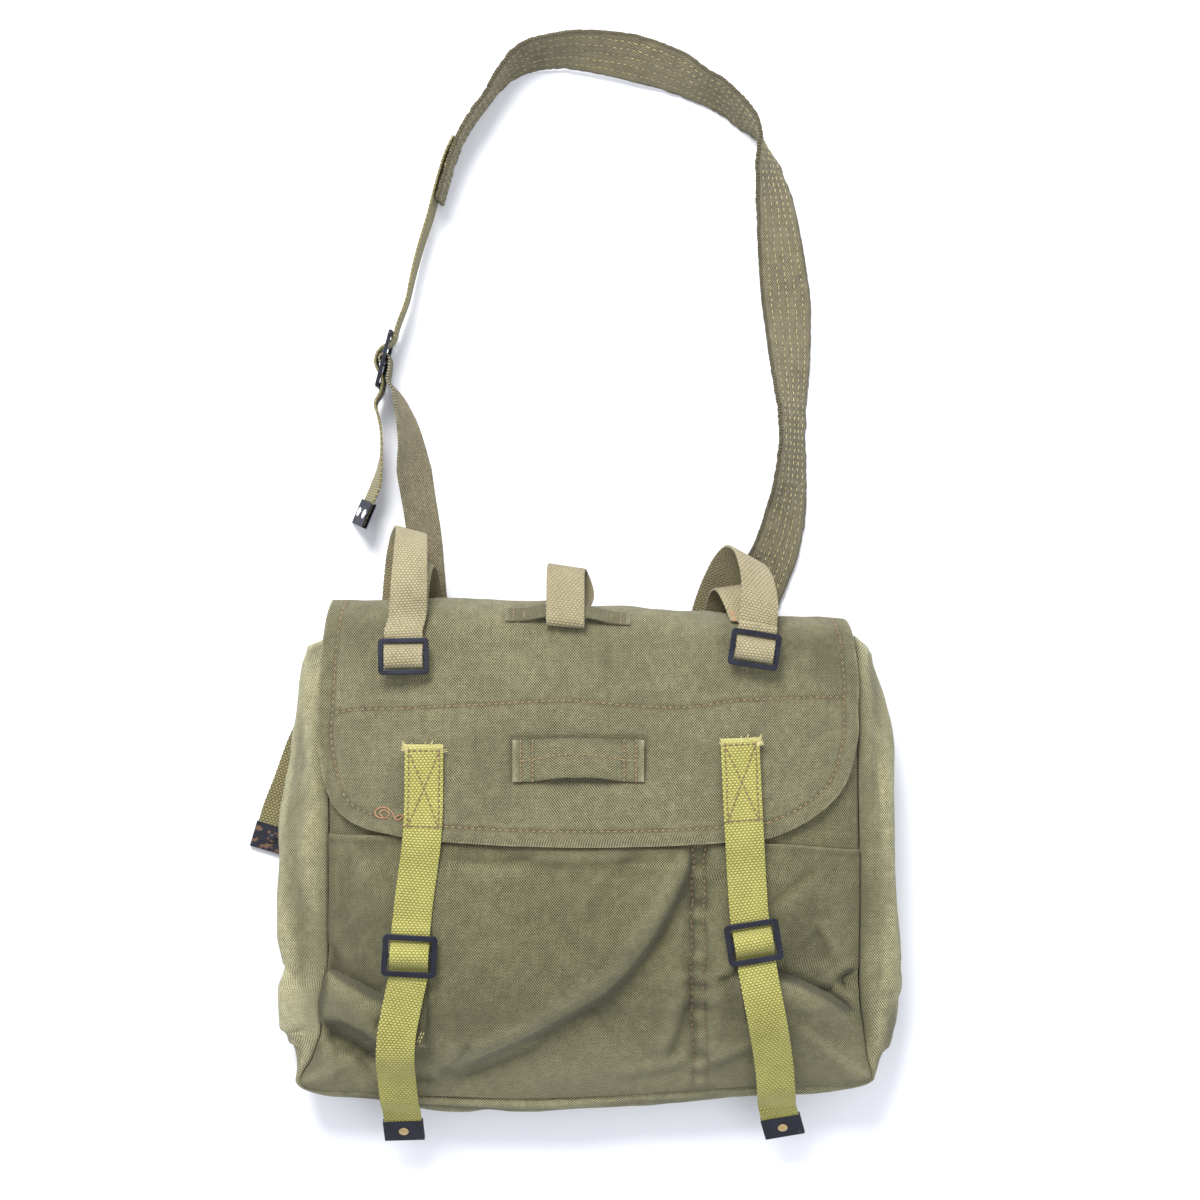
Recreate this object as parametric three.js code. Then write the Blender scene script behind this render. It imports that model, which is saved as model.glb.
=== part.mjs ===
// Canvas shoulder bag lying on its back: flap strapped shut, shoulder strap laid out above it.
// Millimetres. +X is the bag's right as seen from the front, +Y is towards its top.
// +Z is away from its back.
// The origin is the middle of the back panel's flat resting face.
import * as THREE from 'three';

// Cloth, webbing and the gaps between pieces
const CANVAS = 1.4;
const WEBBING = 1.5;
const WEBBING_WIDTH = 24;
const SEAM_GAP = 0.7;
const LAYER_GAP = 0.6;

// Body
const BACK_SHARE = 0.97;
const BACK_LIFT = 9;
const BACK_CURL = 36;
const CROWN_REACH = 42;
const POCKET_LIFT = 0.9 + CANVAS;
const POCKET_INSET = 0.007;
const POCKET_BOW = 8;
const FLAP_LIFT = POCKET_LIFT + LAYER_GAP + CANVAS;

// Flap: where its front part starts, how far its fold stands out and how much lower its right end is
const FOLD_Y = 140;
const FOLD_BACK_Y = 172;
const FOLD_FRONT_Y = 187;
const FOLD_DROP = 16;
const FLAP_DIP = 4.5;

// Metal slides and tips
const SLIDE = { width: 34, length: 26, thickness: 2, rim: 3.5, bar: 2.8, corner: 3 };
const TOP_SLIDE = { width: 31.4, length: 23, thickness: 2, rim: 3.2, bar: 2.6, corner: 2.8 };
const SHOULDER_SLIDE = { width: 34, length: 38, thickness: 2.2, rim: 3.8, bar: 3, corner: 3 };
const TIP = { length: 17, wall: 0.6, overlap: 1.6 };
const RIVET = { radius: 3.2, height: 0.9 };
const TAB_WIDTH = 25;
const TAB_INNER = 2;

// Shoulder strap
const STRAP_WIDTH = 35;
const STRAP_THICKNESS = 2.6;
const FLOOR_GAP = 0.3;

const table = (columns, rows) => rows.map((row) =>
  Object.fromEntries(columns.map((column, i) => [column, row[i]])));

// Front seam from the left mouth round the bottom to the right mouth. The gusset stands out by bulge,
// and rises by puff beside the seam.
const SEAM = table(['x', 'y', 'bulge', 'puff'], [
  [-163, 147, 20, 0],
  [-165, 105, 24, 0],
  [-165.5, 62, 28, 1],
  [-165, 23, 33, 4],
  [-165.5, -35, 35, 7],
  [-167, -65, 29, 6],
  [-171, -85, 27, 6],
  [-173.5, -108, 22, 5],
  [-174, -122, 17, 3],
  [-169, -134, 12, 1],
  [-142, -139.5, 10, 0],
  [-96, -143.5, 11.5, 0],
  [-52, -147, 14, 0],
  [0, -145.5, 13, 0],
  [69, -141, 12, 0],
  [134, -136, 9, 0],
  [165, -131, 11, 1],
  [171, -120, 18, 2],
  [171, -104, 22.5, 4],
  [169, -84, 25, 5],
  [168, -58, 27.5, 6],
  [168, -28, 28, 6],
  [168, 13, 26.5, 4],
  [167.5, 55, 25, 1],
  [167, 97, 22, 0],
  [165, 148, 15, 0],
]);
const LEFT_CORNER = 9;
const RIGHT_CORNER = 16;
const SIDE_ROWS = 9;
const POCKET_ROW = 6;

// Height of the front seam and of the puffed middle above it
const FRONT_HEIGHT = table(['y', 'edge', 'rise'], [
  [-150, 40, 22],
  [-100, 48, 29],
  [-40, 57, 31],
  [20, 60, 27],
  [80, 58, 21],
  [150, 54, 17],
]);

// Folds of the front: each runs from start by middle to end. Step lifts its left side and
// dent presses a valley.
const FOLDS = table(
  ['startX', 'startY', 'midX', 'midY', 'endX', 'endY', 'step', 'dent', 'narrow', 'reach'], [
    [66, 20, 33, -48, -8, -88, -7, 1, 6, 26],
    [12, -72, -32, -100, -108, -136, -6.5, 2, 6, 24],
    [66, 22, 62, -50, 68, -140, 0, 3.5, 7, 10],
    [60, -76, 55, -100, 45, -123, -2, 3, 6, 16],
    [86, -62, 122, -68, 170, -97, -6, 3, 6, 22],
    [-176, -64, -150, -73, -128, -86, -7, 3, 6, 24],
    [-176, -103, -155, -100, -126, -124, 5, 2, 6, 18],
    [34, -42, 8, -62, -8, -88, 0, 2.5, 8, 12],
  ]);

// Left and right edge of the flap's front part, from the fold to the lower edge
const FLAP_SIDES = table(['y', 'left', 'right'], [
  [140, -170, 166],
  [115, -172, 168.5],
  [92, -173, 168],
  [76, -172, 166],
  [62, -169.5, 162.5],
  [50, -166.5, 156],
  [40, -161.5, 147],
  [32, -153, 135.5],
  [26, -139, 123],
  [22, -119, 111],
]);
const FOLD_TAPER = { left: 8, right: 8 };

// Flap straps: the slide and the straight end, then the run on the flap and the tail below the slide
const FLAP_STRAPS = {
  left: {
    slide: [-112.7, -50.5],
    turn: -3,
    tabDrop: 58,
    tip: { start: [-121, -156, 42], end: [-120, -175.4, 28] },
  },
  right: {
    slide: [100.2, -42],
    turn: 9,
    tabDrop: 50,
    tip: { start: [118, -153, 40], end: [124, -173.4, 26] },
  },
};
const FLAP_STRAP_RUNS = {
  left: table(['x', 'y'], [[-104, 80], [-104, 66], [-104, 50], [-104.3, 34], [-105.4, 18], [-107.5, 2],
    [-110, -16], [-111.4, -30]]),
  right: table(['x', 'y'], [[92, 84], [92.8, 68], [93.6, 52], [94.5, 36], [95.5, 20], [96.6, 4],
    [98, -10], [99, -22]]),
};
const FLAP_STRAP_TAILS = {
  left: table(['x', 'y'], [[-114.5, -68], [-118, -84], [-121, -100], [-122.4, -116], [-122.4, -132],
    [-121.6, -148]]),
  right: table(['x', 'y'], [[102.8, -60], [105.8, -76], [109, -92], [112.4, -108], [115.6, -124],
    [118.4, -142]]),
};

// Webbing through a slide: along the webbing and above the slide's plane
const OVER_BAR = table(['along', 'above'], [[17, -2.2], [12.5, -2.2], [8.4, -2.2], [6.6, -0.6], [5, 2.2],
  [2.6, 4.3], [0, 4.8], [-2.6, 4.3], [-5, 2.2], [-6.6, -0.6], [-8.4, -2.2], [-12.5, -2.2]]);
const ROUND_BAR = table(['along', 'above'], [[16, -2.2], [12, -2.2], [8.4, -2.2], [6, -0.2], [3.2, 2.2],
  [0.6, 3.1], [-2, 2.4], [-3.2, 0], [-2.4, -2.3], [0.4, -3.9], [5, -4.9], [13, -5.1]]);
const SLIDE_RISE = 5.6;
const TOP_SLIDE_RISE = 7.2;

// Top straps: slide position and turn, then the loop from the slide round to the rear of the flap's fold.
// Fold runs from 0 at the fold's front to 1 at its rear edge, and stand is the distance off it.
const TOP_STRAPS = {
  left: { slide: [-117, 134.7], turn: 1, lean: -7 },
  right: { slide: [101.3, 139], turn: -9, lean: -6 },
};
const TOP_LOOPS = {
  left: table(['x', 'fold', 'stand', 'yaw', 'tip'], [
    [-115.6, 0.14, 7, 2, 0],
    [-114.8, 0.24, 18, 1, 4],
    [-114.6, 0.33, 31, -1, 10],
    [-115, 0.42, 41, -4, 14],
    [-116.6, 0.5, 44, -6, 14],
    [-119.4, 0.58, 39, -8, 10],
    [-122, 0.66, 28, -8, 5],
    [-123.6, 0.74, 14, -6, 0],
    [-124.4, 0.81, 5, -3, 0],
    [-124.6, 0.88, 2, 0, 0],
    [-124.6, 0.95, 1.6, 0, 0],
  ]),
  right: table(['x', 'fold', 'stand', 'yaw', 'tip'], [
    [103.4, 0.12, 7, -12, -2],
    [105, 0.22, 17, -19, -4],
    [103.6, 0.32, 28, -25, -6],
    [100, 0.41, 36, -29, -7],
    [95, 0.5, 38, -29, -6],
    [89, 0.58, 33, -25, -5],
    [83, 0.66, 23, -17, -3],
    [78, 0.74, 12, -10, -1],
    [75.6, 0.81, 5, -5, 0],
    [74.6, 0.88, 2, 0, 0],
    [74, 0.95, 1.6, 0, 0],
  ]),
};

// Tabs: smaller webbing loops inside the top straps, sewn to the fold's front and rear
const TOP_TABS = {
  left: table(['x', 'fold', 'stand', 'yaw', 'tip'], [
    [-115, 0.18, 2, 0, 0],
    [-115, 0.22, 2.8, -1, 0],
    [-114.4, 0.28, 9, -4, 0],
    [-113.4, 0.35, 17, -8, 0],
    [-112, 0.43, 23, -11, 0],
    [-110.4, 0.51, 22, -11, 0],
    [-108.8, 0.58, 15, -9, 0],
    [-107.4, 0.64, 7, -6, 0],
    [-106.6, 0.7, 2.2, -2, 0],
    [-106.2, 0.76, 1.5, 0, 0],
  ]),
  right: table(['x', 'fold', 'stand', 'yaw', 'tip'], [
    [99, 0.18, 2, -6, 0],
    [98, 0.22, 2.8, -4, 0],
    [96, 0.28, 7, 0, 0],
    [93, 0.35, 13, 5, 0],
    [90, 0.43, 17, 8, 0],
    [87.4, 0.51, 16, 8, 0],
    [85.4, 0.58, 11, 6, 0],
    [84, 0.64, 5, 3, 0],
    [83.4, 0.7, 1.8, 1, 0],
    [83, 0.76, 1.5, 0, 0],
  ]),
};

// Canvas band across the top fold and the webbing loop round it
const BAND = { left: -54, right: 24, width: 10, rise: 5, fold: 0.19 };
const CENTRE_LOOP_X = -16.4;
const CENTRE_LOOP = table(['fold', 'stand'], [
  [0.19, 2.4],
  [0.135, 3],
  [0.105, 5.4],
  [0.125, 8.2],
  [0.19, 9],
  [0.28, 14],
  [0.36, 20],
  [0.42, 23],
  [0.47, 21],
  [0.46, 14],
  [0.41, 7],
  [0.34, 3.4],
  [0.27, 2.4],
]);
const KEEPER = { left: -49, right: 32.5, y: 70, width: 26, rise: 3.6 };

// Wide shoulder strap from the back's right top to the joint. Roll turns its width up from the ground.
const SHOULDER = table(['x', 'y', 'roll', 'lift'], [
  [92, 133, 0, 0],
  [97, 150, 0, 0],
  [105, 171, 18, 0],
  [118.6, 200, 33, 0],
  [125, 223, 40, 0],
  [128, 244, 52, 0],
  [129.5, 270, 61, 0],
  [129.2, 294, 58, 0],
  [128, 330, 37, 0],
  [126, 364, 24, 0],
  [123, 391, 30, 0],
  [118.4, 427, 46, 0],
  [113.6, 450.5, 62, 0],
  [108, 470.5, 90, 0],
  [101, 479.5, 103, 0],
  [84, 495, 113, 0],
  [69, 503, 117, 0],
  [55.5, 510.5, 125, 1],
  [28.5, 519.5, 134, 3],
  [3, 524, 131, 3],
  [-20, 525, 120, 2],
  [-44, 519.5, 110, 1],
  [-57, 509, 104, 0],
  [-67, 495.5, 99, 0],
  [-82, 474, 97, 0],
  [-89.6, 457, 96, 0],
  [-95.6, 437, 95, 0],
  [-98.4, 427, 95, 0],
]);

// Narrow strap from the joint through the slide to its black tip
const ADJUSTING_LEAD = table(['x', 'y', 'roll'], [
  [-88, 468.5, 97],
  [-93.8, 456, 96],
  [-100, 436, 95],
  [-105, 417, 94],
  [-110.6, 399, 93],
  [-114.8, 383, 92],
  [-119, 363.5, 90],
]);
const ADJUSTING_TAIL = table(['x', 'y', 'roll'], [
  [-139.6, 296, 88],
  [-136.6, 280, 86],
  [-136.4, 264, 84],
  [-138.4, 250, 76],
  [-140.6, 242, 68],
]);
const ADJUSTING_END = { x: -150.6, y: 218.5 };
const TIP_CLEARANCE = 1.2;
const THROUGH_SLIDE = table(['along', 'above'], [[22, -2.6], [14.8, -2.6], [11, -1], [7.6, 2.6], [3.6, 5],
  [0, 5.5], [-3.6, 5], [-7.6, 2.6], [-11, -1], [-14.8, -2.6], [-21, -2.8]]);

// Short strap from the back's left top to the slide. Its end is sewn round the slide's middle bar.
const SHORT_STRAP = table(['x', 'y', 'roll', 'width'], [
  [-99, 128, 0, 27],
  [-103, 148, 0, 27],
  [-107, 170, 16, 26],
  [-107.6, 191, 28, 25],
  [-109, 212, 33, 25],
  [-112, 232, 34, 25],
  [-115.4, 254, 38, 27],
  [-117, 270, 54, 26],
  [-120, 285, 64, 25],
  [-124.6, 299, 78, 25],
  [-127.8, 306, 88, 25],
]);
const ROUND_MIDDLE_BAR = table(['along', 'above'], [[-13, -5.4], [-6, -4.6], [0, -3.4], [2.8, -1.8],
  [3.2, 0.6], [1.4, 2.9], [-1.4, 2.9], [-3.1, 0.8]]);
const SHOULDER_SLIDE_AT = { x: -133.4, y: 324.7, alongX: 0.246, alongY: 0.969 };

// Webbing end that shows at the bag's left
const SIDE_STRAP = table(['x', 'y', 'z'], [
  [-146, 130, 1.4],
  [-160, 115, 1.4],
  [-174, 98, 1.4],
  [-186, 77, 1.4],
  [-196, 50, 1.6],
  [-203, 32, 2.1],
]);
const SIDE_END = [-210.4, 7, 2.1];

const CLOTH = { roughness: 0.95, metalness: 0 };
const METAL = { roughness: 0.45, metalness: 0.6 };
const material = (color, look) => new THREE.MeshStandardMaterial({ color, ...look });
const CANVAS_LOOK = material(0x847f62, CLOTH);
const GUSSET_LOOK = material(0x9c9777, CLOTH);
const FLAP_LOOK = material(0x8e8a6d, CLOTH);
const GREEN_LOOK = material(0xb9b46b, CLOTH);
const KHAKI_LOOK = material(0xc8bf9c, CLOTH);
const STRAP_LOOK = material(0x8d8670, CLOTH);
const BLACK_LOOK = material(0x3c3b40, METAL);
const BRASS_LOOK = material(0xb1a388, METAL);

const { clamp, degToRad, lerp } = THREE.MathUtils;
const vec = (x, y, z) => new THREE.Vector3(x, y, z);
const UP = vec(0, 0, 1);
const bag = new THREE.Group();
bag.name = 'canvas_shoulder_bag';

function add(name, geometry, look) {
  const mesh = new THREE.Mesh(geometry, look);
  mesh.name = name;
  bag.add(mesh);
  return mesh;
}

// Smooth value of a table's column where its key column has the given value.
function columnAt(rows, key, column, value) {
  const rising = rows[1][key] > rows[0][key];
  let i = 0;
  while (i < rows.length - 2 && (rising ? rows[i + 1][key] < value : rows[i + 1][key] > value)) {
    i += 1;
  }
  const span = rows[i + 1][key] - rows[i][key];
  const t = clamp((value - rows[i][key]) / span, 0, 1);
  const slope = (k) => {
    const a = rows[Math.max(k - 1, 0)];
    const b = rows[Math.min(k + 1, rows.length - 1)];
    return (b[column] - a[column]) / (b[key] - a[key]);
  };
  const t2 = t * t;
  const t3 = t2 * t;
  return (2 * t3 - 3 * t2 + 1) * rows[i][column] + (t3 - 2 * t2 + t) * span * slope(i)
    + (3 * t2 - 2 * t3) * rows[i + 1][column] + (t3 - t2) * span * slope(i + 1);
}

// Closed solid from points and triangles, turned to face outwards.
function solid(points, faces) {
  let volume = 0;
  for (const [a, b, c] of faces) {
    volume += points[a].dot(points[b].clone().cross(points[c]));
  }
  const order = volume > 0 ? faces : faces.map(([a, b, c]) => [a, c, b]);
  const geometry = new THREE.BufferGeometry();
  const flat = points.flatMap((p) => [p.x, p.y, p.z]);
  geometry.setAttribute('position', new THREE.Float32BufferAttribute(flat, 3));
  geometry.setIndex(order.flat());
  geometry.computeVertexNormals();
  return geometry;
}

// Thin wall behind a grid of points on its outer face.
function wall(grid, thickness) {
  const rows = grid.length;
  const columns = grid[0].length;
  const outer = grid.flat();
  const inner = [];
  for (let j = 0; j < rows; j += 1) {
    for (let i = 0; i < columns; i += 1) {
      const along = grid[j][Math.min(i + 1, columns - 1)].clone().sub(grid[j][Math.max(i - 1, 0)]);
      const up = grid[Math.min(j + 1, rows - 1)][i].clone().sub(grid[Math.max(j - 1, 0)][i]);
      const normal = along.cross(up).normalize();
      inner.push(grid[j][i].clone().addScaledVector(normal, -thickness));
    }
  }
  const count = outer.length;
  const faces = [];
  const quad = (a, b, c, d) => faces.push([a, b, c], [a, c, d]);
  for (let j = 0; j < rows - 1; j += 1) {
    for (let i = 0; i < columns - 1; i += 1) {
      const a = j * columns + i;
      const b = a + 1;
      const c = b + columns;
      const d = a + columns;
      quad(a, b, c, d);
      quad(count + a, count + d, count + c, count + b);
    }
  }
  const rim = [];
  for (let i = 0; i < columns; i += 1) rim.push(i);
  for (let j = 1; j < rows; j += 1) rim.push(j * columns + columns - 1);
  for (let i = columns - 2; i >= 0; i -= 1) rim.push((rows - 1) * columns + i);
  for (let j = rows - 2; j > 0; j -= 1) rim.push(j * columns);
  rim.forEach((a, i) => {
    const b = rim[(i + 1) % rim.length];
    quad(b, a, count + a, count + b);
  });
  return solid([...outer, ...inner], faces);
}

// Flat strip through stations: each has its centre, its direction across and its width.
function ribbon(stations, thickness, closed = false) {
  const count = stations.length;
  const points = [];
  stations.forEach(({ at, across, width }, i) => {
    const before = stations[closed ? (i + count - 1) % count : Math.max(i - 1, 0)].at;
    const after = stations[closed ? (i + 1) % count : Math.min(i + 1, count - 1)].at;
    const half = across.clone().normalize().multiplyScalar(width / 2);
    const normal = after.clone().sub(before).cross(half).normalize().multiplyScalar(thickness / 2);
    points.push(
      at.clone().add(half).add(normal),
      at.clone().sub(half).add(normal),
      at.clone().sub(half).sub(normal),
      at.clone().add(half).sub(normal),
    );
  });
  const faces = [];
  const last = closed ? count : count - 1;
  for (let i = 0; i < last; i += 1) {
    const a = i * 4;
    const b = ((i + 1) % count) * 4;
    for (let k = 0; k < 4; k += 1) {
      const n = (k + 1) % 4;
      faces.push([a + k, a + n, b + n], [a + k, b + n, b + k]);
    }
  }
  if (!closed) {
    const e = (count - 1) * 4;
    faces.push([0, 2, 1], [0, 3, 2], [e, e + 1, e + 2], [e, e + 2, e + 3]);
  }
  return solid(points, faces);
}

// More stations on a smooth curve through the given ones.
function smoothStations(stations, steps) {
  const curve = new THREE.CatmullRomCurve3(stations.map((s) => s.at), false, 'centripetal');
  const last = stations.length - 1;
  const result = [];
  for (let i = 0; i <= last * steps; i += 1) {
    const k = Math.min(Math.floor(i / steps), last - 1);
    const t = i / steps - k;
    const eased = t * t * (3 - 2 * t);
    result.push({
      at: curve.getPoint(i / (last * steps)),
      across: stations[k].across.clone().lerp(stations[k + 1].across, eased),
      width: lerp(stations[k].width, stations[k + 1].width, eased),
    });
  }
  return result;
}

// Straight last length of a strap, longer than its tip, up to the given end.
function straightEnd(stations, end) {
  const { at, across, width } = stations[stations.length - 1];
  const along = end.clone().sub(at).normalize();
  across.addScaledVector(along, -across.dot(along)).normalize();
  stations.push({ at: at.clone().lerp(end, 0.08), across, width }, { at: end, across, width });
}

// Front seam as a curve, and as short lengths for measuring distances
const seamCurve = new THREE.CatmullRomCurve3(SEAM.map((row) => vec(row.x, row.y, 0)), false, 'centripetal');
const SEAM_LAST = SEAM.length - 1;
const seamPoints = seamCurve.getPoints(SEAM_LAST * 4);
const seamPoint = (row) => seamCurve.getPoint(clamp(row / SEAM_LAST, 0, 1));

function seamValue(row, column) {
  const k = clamp(Math.floor(row), 0, SEAM_LAST - 1);
  const t = row - k;
  return lerp(SEAM[k][column], SEAM[k + 1][column], t * t * (3 - 2 * t));
}

// How far a point is inside the front seam; zero on the seam and outside it.
function insideSeam(x, y) {
  let best = Infinity;
  let side = 1;
  for (let i = 0; i < seamPoints.length - 1; i += 1) {
    const a = seamPoints[i];
    const b = seamPoints[i + 1];
    const dx = b.x - a.x;
    const dy = b.y - a.y;
    const t = clamp(((x - a.x) * dx + (y - a.y) * dy) / (dx * dx + dy * dy), 0, 1);
    const offX = x - a.x - t * dx;
    const offY = y - a.y - t * dy;
    const distance = Math.hypot(offX, offY);
    if (distance < best) {
      best = distance;
      side = dx * offY - dy * offX;
    }
  }
  return side > 0 ? best : 0;
}

// Each fold as a line of points, with the signed distance of a place from it.
const foldLines = FOLDS.map((fold) => new THREE.QuadraticBezierCurve(
  new THREE.Vector2(fold.startX, fold.startY),
  new THREE.Vector2(
    2 * fold.midX - (fold.startX + fold.endX) / 2,
    2 * fold.midY - (fold.startY + fold.endY) / 2,
  ),
  new THREE.Vector2(fold.endX, fold.endY),
).getPoints(10));

function foldHeight(x, y) {
  let height = 0;
  FOLDS.forEach((fold, f) => {
    const line = foldLines[f];
    let best = Infinity;
    let along = 0;
    let signed = 0;
    for (let i = 0; i < line.length - 1; i += 1) {
      const dx = line[i + 1].x - line[i].x;
      const dy = line[i + 1].y - line[i].y;
      const t = clamp(((x - line[i].x) * dx + (y - line[i].y) * dy) / (dx * dx + dy * dy), 0, 1);
      const offX = x - line[i].x - t * dx;
      const offY = y - line[i].y - t * dy;
      const distance = Math.hypot(offX, offY);
      if (distance < best) {
        best = distance;
        along = (i + t) / (line.length - 1);
        signed = Math.sign(dx * offY - dy * offX) * distance;
      }
    }
    const ends = Math.min(1, 5 * along, 5 * (1 - along));
    const step = fold.step * Math.tanh(signed / fold.narrow) * Math.exp(-best / fold.reach);
    const dent = fold.dent * Math.exp(-((best / fold.narrow) ** 2));
    height += ends * (step - dent);
  });
  return height;
}

const edgeHeight = (y) => columnAt(FRONT_HEIGHT, 'y', 'edge', y);

// Height of the front panel's outer face.
function frontHeight(x, y) {
  const inside = insideSeam(x, y);
  const crown = columnAt(FRONT_HEIGHT, 'y', 'rise', y) * (1 - Math.exp(-inside / CROWN_REACH));
  return edgeHeight(y) + crown + foldHeight(x, y) * (1 - Math.exp(-inside / 10));
}

// Place on a panel that fills the seam: across from left to right, up from the bottom to the mouth.
function panelPlace(across, up) {
  const left = seamPoint(LEFT_CORNER - up * SIDE_ROWS);
  const right = seamPoint(RIGHT_CORNER + up * SIDE_ROWS);
  const bottom = seamPoint(lerp(LEFT_CORNER, RIGHT_CORNER, across));
  const straight = seamPoint(LEFT_CORNER).lerp(seamPoint(RIGHT_CORNER), across);
  const place = left.lerp(right, across).addScaledVector(bottom.sub(straight), 1 - up);
  place.y += POCKET_BOW * 16 * across * (1 - across) * up * (1 - up);
  return place;
}

function frontNormal(x, y) {
  const d = 1.5;
  const slopeX = (frontHeight(x + d, y) - frontHeight(x - d, y)) / (2 * d);
  const slopeY = (frontHeight(x, y + d) - frontHeight(x, y - d)) / (2 * d);
  return vec(-slopeX, -slopeY, 1).normalize();
}

const spread = (count, fn) => Array.from({ length: count + 1 }, (_, i) => fn(i / count));

// Front panel and the pocket in front of it, on one grid so that the layers stay apart
const ACROSS_STEPS = 24;
const frontGrid = (rows, lift, inset) => spread(rows * 2, (v) => spread(ACROSS_STEPS, (u) => {
  const place = panelPlace(clamp(u, inset, 1 - inset), Math.max(v * rows / SIDE_ROWS, inset));
  place.z = frontHeight(place.x, place.y);
  return place.addScaledVector(frontNormal(place.x, place.y), lift);
}));
add('front_panel', wall(frontGrid(SIDE_ROWS, 0, 0), CANVAS), CANVAS_LOOK);
add('front_pocket', wall(frontGrid(POCKET_ROW, POCKET_LIFT, POCKET_INSET), CANVAS), CANVAS_LOOK);

// Back panel: flat in the middle, curling up to its seam
const BACK_LINES = [0, 0.025, 0.06, 0.11, 0.18, 0.29, 0.4, 0.6, 0.71, 0.82, 0.89, 0.94, 0.975, 1];
const BACK_ROWS = [0, 1, 2, 3, 4, 5.6, 7.4, 8.2, 8.6, 9];
function backHeight(x, y) {
  const inside = insideSeam(x / BACK_SHARE, y / BACK_SHARE) * BACK_SHARE;
  const top = BACK_SHARE * lerp(SEAM[0].y, SEAM[SEAM_LAST].y, clamp((x + 160) / 320, 0, 1)) - y;
  const curl = clamp(1 - Math.min(inside, Math.max(top, 0)) / BACK_CURL, 0, 1);
  return BACK_LIFT * curl * curl;
}
const backGrid = BACK_ROWS.map((row) => BACK_LINES.map((across) => {
  const place = panelPlace(across, row / SIDE_ROWS).multiplyScalar(BACK_SHARE);
  place.z = backHeight(place.x, place.y);
  return place;
}).reverse());
add('back_panel', wall(backGrid, CANVAS), CANVAS_LOOK);

// Gusset: one strip from the left mouth round the bottom to the right mouth
const GUSSET_STEPS = 7;
const gussetGrid = spread(SEAM_LAST * 2, (s) => {
  const row = s * SEAM_LAST;
  const front = seamPoint(row);
  const tangent = seamCurve.getTangent(clamp(s, 0.001, 0.999));
  const out = vec(tangent.y, -tangent.x, 0);
  const reach = seamValue(row, 'bulge') / 0.75;
  const back = front.clone().multiplyScalar(BACK_SHARE);
  front.z = edgeHeight(front.y);
  back.z = BACK_LIFT;
  front.addScaledVector(out, SEAM_GAP);
  back.addScaledVector(out, SEAM_GAP);
  const section = new THREE.CubicBezierCurve3(
    back,
    back.clone().addScaledVector(out, reach),
    front.clone().addScaledVector(out, reach).addScaledVector(UP, seamValue(row, 'puff') * 2),
    front,
  );
  return section.getPoints(GUSSET_STEPS);
});
add('gusset', wall(gussetGrid, CANVAS), GUSSET_LOOK);

// Flap: fold over the top, then the front part down to its rounded lower edge
function foldCurve(x) {
  const front = frontHeight(x, FOLD_Y) + FLAP_LIFT;
  const slope = (front - frontHeight(x, FOLD_Y - 4) - FLAP_LIFT) / 4;
  const drop = FOLD_DROP * THREE.MathUtils.smoothstep(x, -90, 165);
  const backY = BACK_SHARE * lerp(SEAM[0].y, SEAM[SEAM_LAST].y, clamp((x + 160) / 320, 0, 1)) + SEAM_GAP;
  const frontY = FOLD_FRONT_Y - drop;
  return new THREE.CubicBezierCurve3(
    vec(x, FOLD_Y, front),
    vec(x, frontY, front + slope * 20 + 5),
    vec(x, FOLD_BACK_Y - drop, BACK_LIFT + 3),
    vec(x, backY, BACK_LIFT),
  );
}

// Place at a distance off the fold's outer face.
function offFold(x, fold, stand) {
  const curve = foldCurve(x);
  const tangent = curve.getTangent(fold);
  return curve.getPoint(fold).addScaledVector(vec(0, -tangent.z, tangent.y), stand);
}

const FLAP_LAST = FLAP_SIDES.length - 1;
function flapRow(row) {
  const k = Math.min(Math.floor(row), FLAP_LAST - 1);
  const y = lerp(FLAP_SIDES[k].y, FLAP_SIDES[k + 1].y, row - k);
  return spread(ACROSS_STEPS, (u) => {
    const x = lerp(columnAt(FLAP_SIDES, 'y', 'left', y), columnAt(FLAP_SIDES, 'y', 'right', y), u);
    const dip = FLAP_DIP * (1 - (2 * u - 1) ** 2) * (row / FLAP_LAST) ** 3;
    return vec(x, y - dip, frontHeight(x, y - dip) + FLAP_LIFT);
  });
}
const FOLD_STEPS = 10;
const foldRows = spread(FOLD_STEPS, (t) => spread(ACROSS_STEPS, (u) =>
  foldCurve(lerp(FLAP_SIDES[0].left + FOLD_TAPER.left * t * (2 - t),
    FLAP_SIDES[0].right - FOLD_TAPER.right * t * (2 - t), u)).getPoint(t)));
const frontRows = [0.5, 1, 1.6, 2.2, 3, 4, 5, 6, 7, 8, 9].map(flapRow);
const flapGrid = [...frontRows.reverse(), ...foldRows];
add('flap', wall(flapGrid, CANVAS), FLAP_LOOK);

// Height at which a stiff strip of webbing comes to rest over the cloth around a place.
function restingHeight(x, y, reach) {
  let height = -Infinity;
  for (const dx of [-1, -0.5, 0, 0.5, 1]) {
    for (const dy of [-1, -0.5, 0, 0.5, 1]) {
      height = Math.max(height, frontHeight(x + dx * reach, y + dy * reach));
    }
  }
  return height;
}
const FLAP_EDGE = FLAP_SIDES[FLAP_LAST].y - FLAP_DIP;
const layerLift = (y) => lerp(POCKET_LIFT, FLAP_LIFT,
  THREE.MathUtils.smoothstep(y, FLAP_EDGE - 14, FLAP_EDGE - 1));

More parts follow.
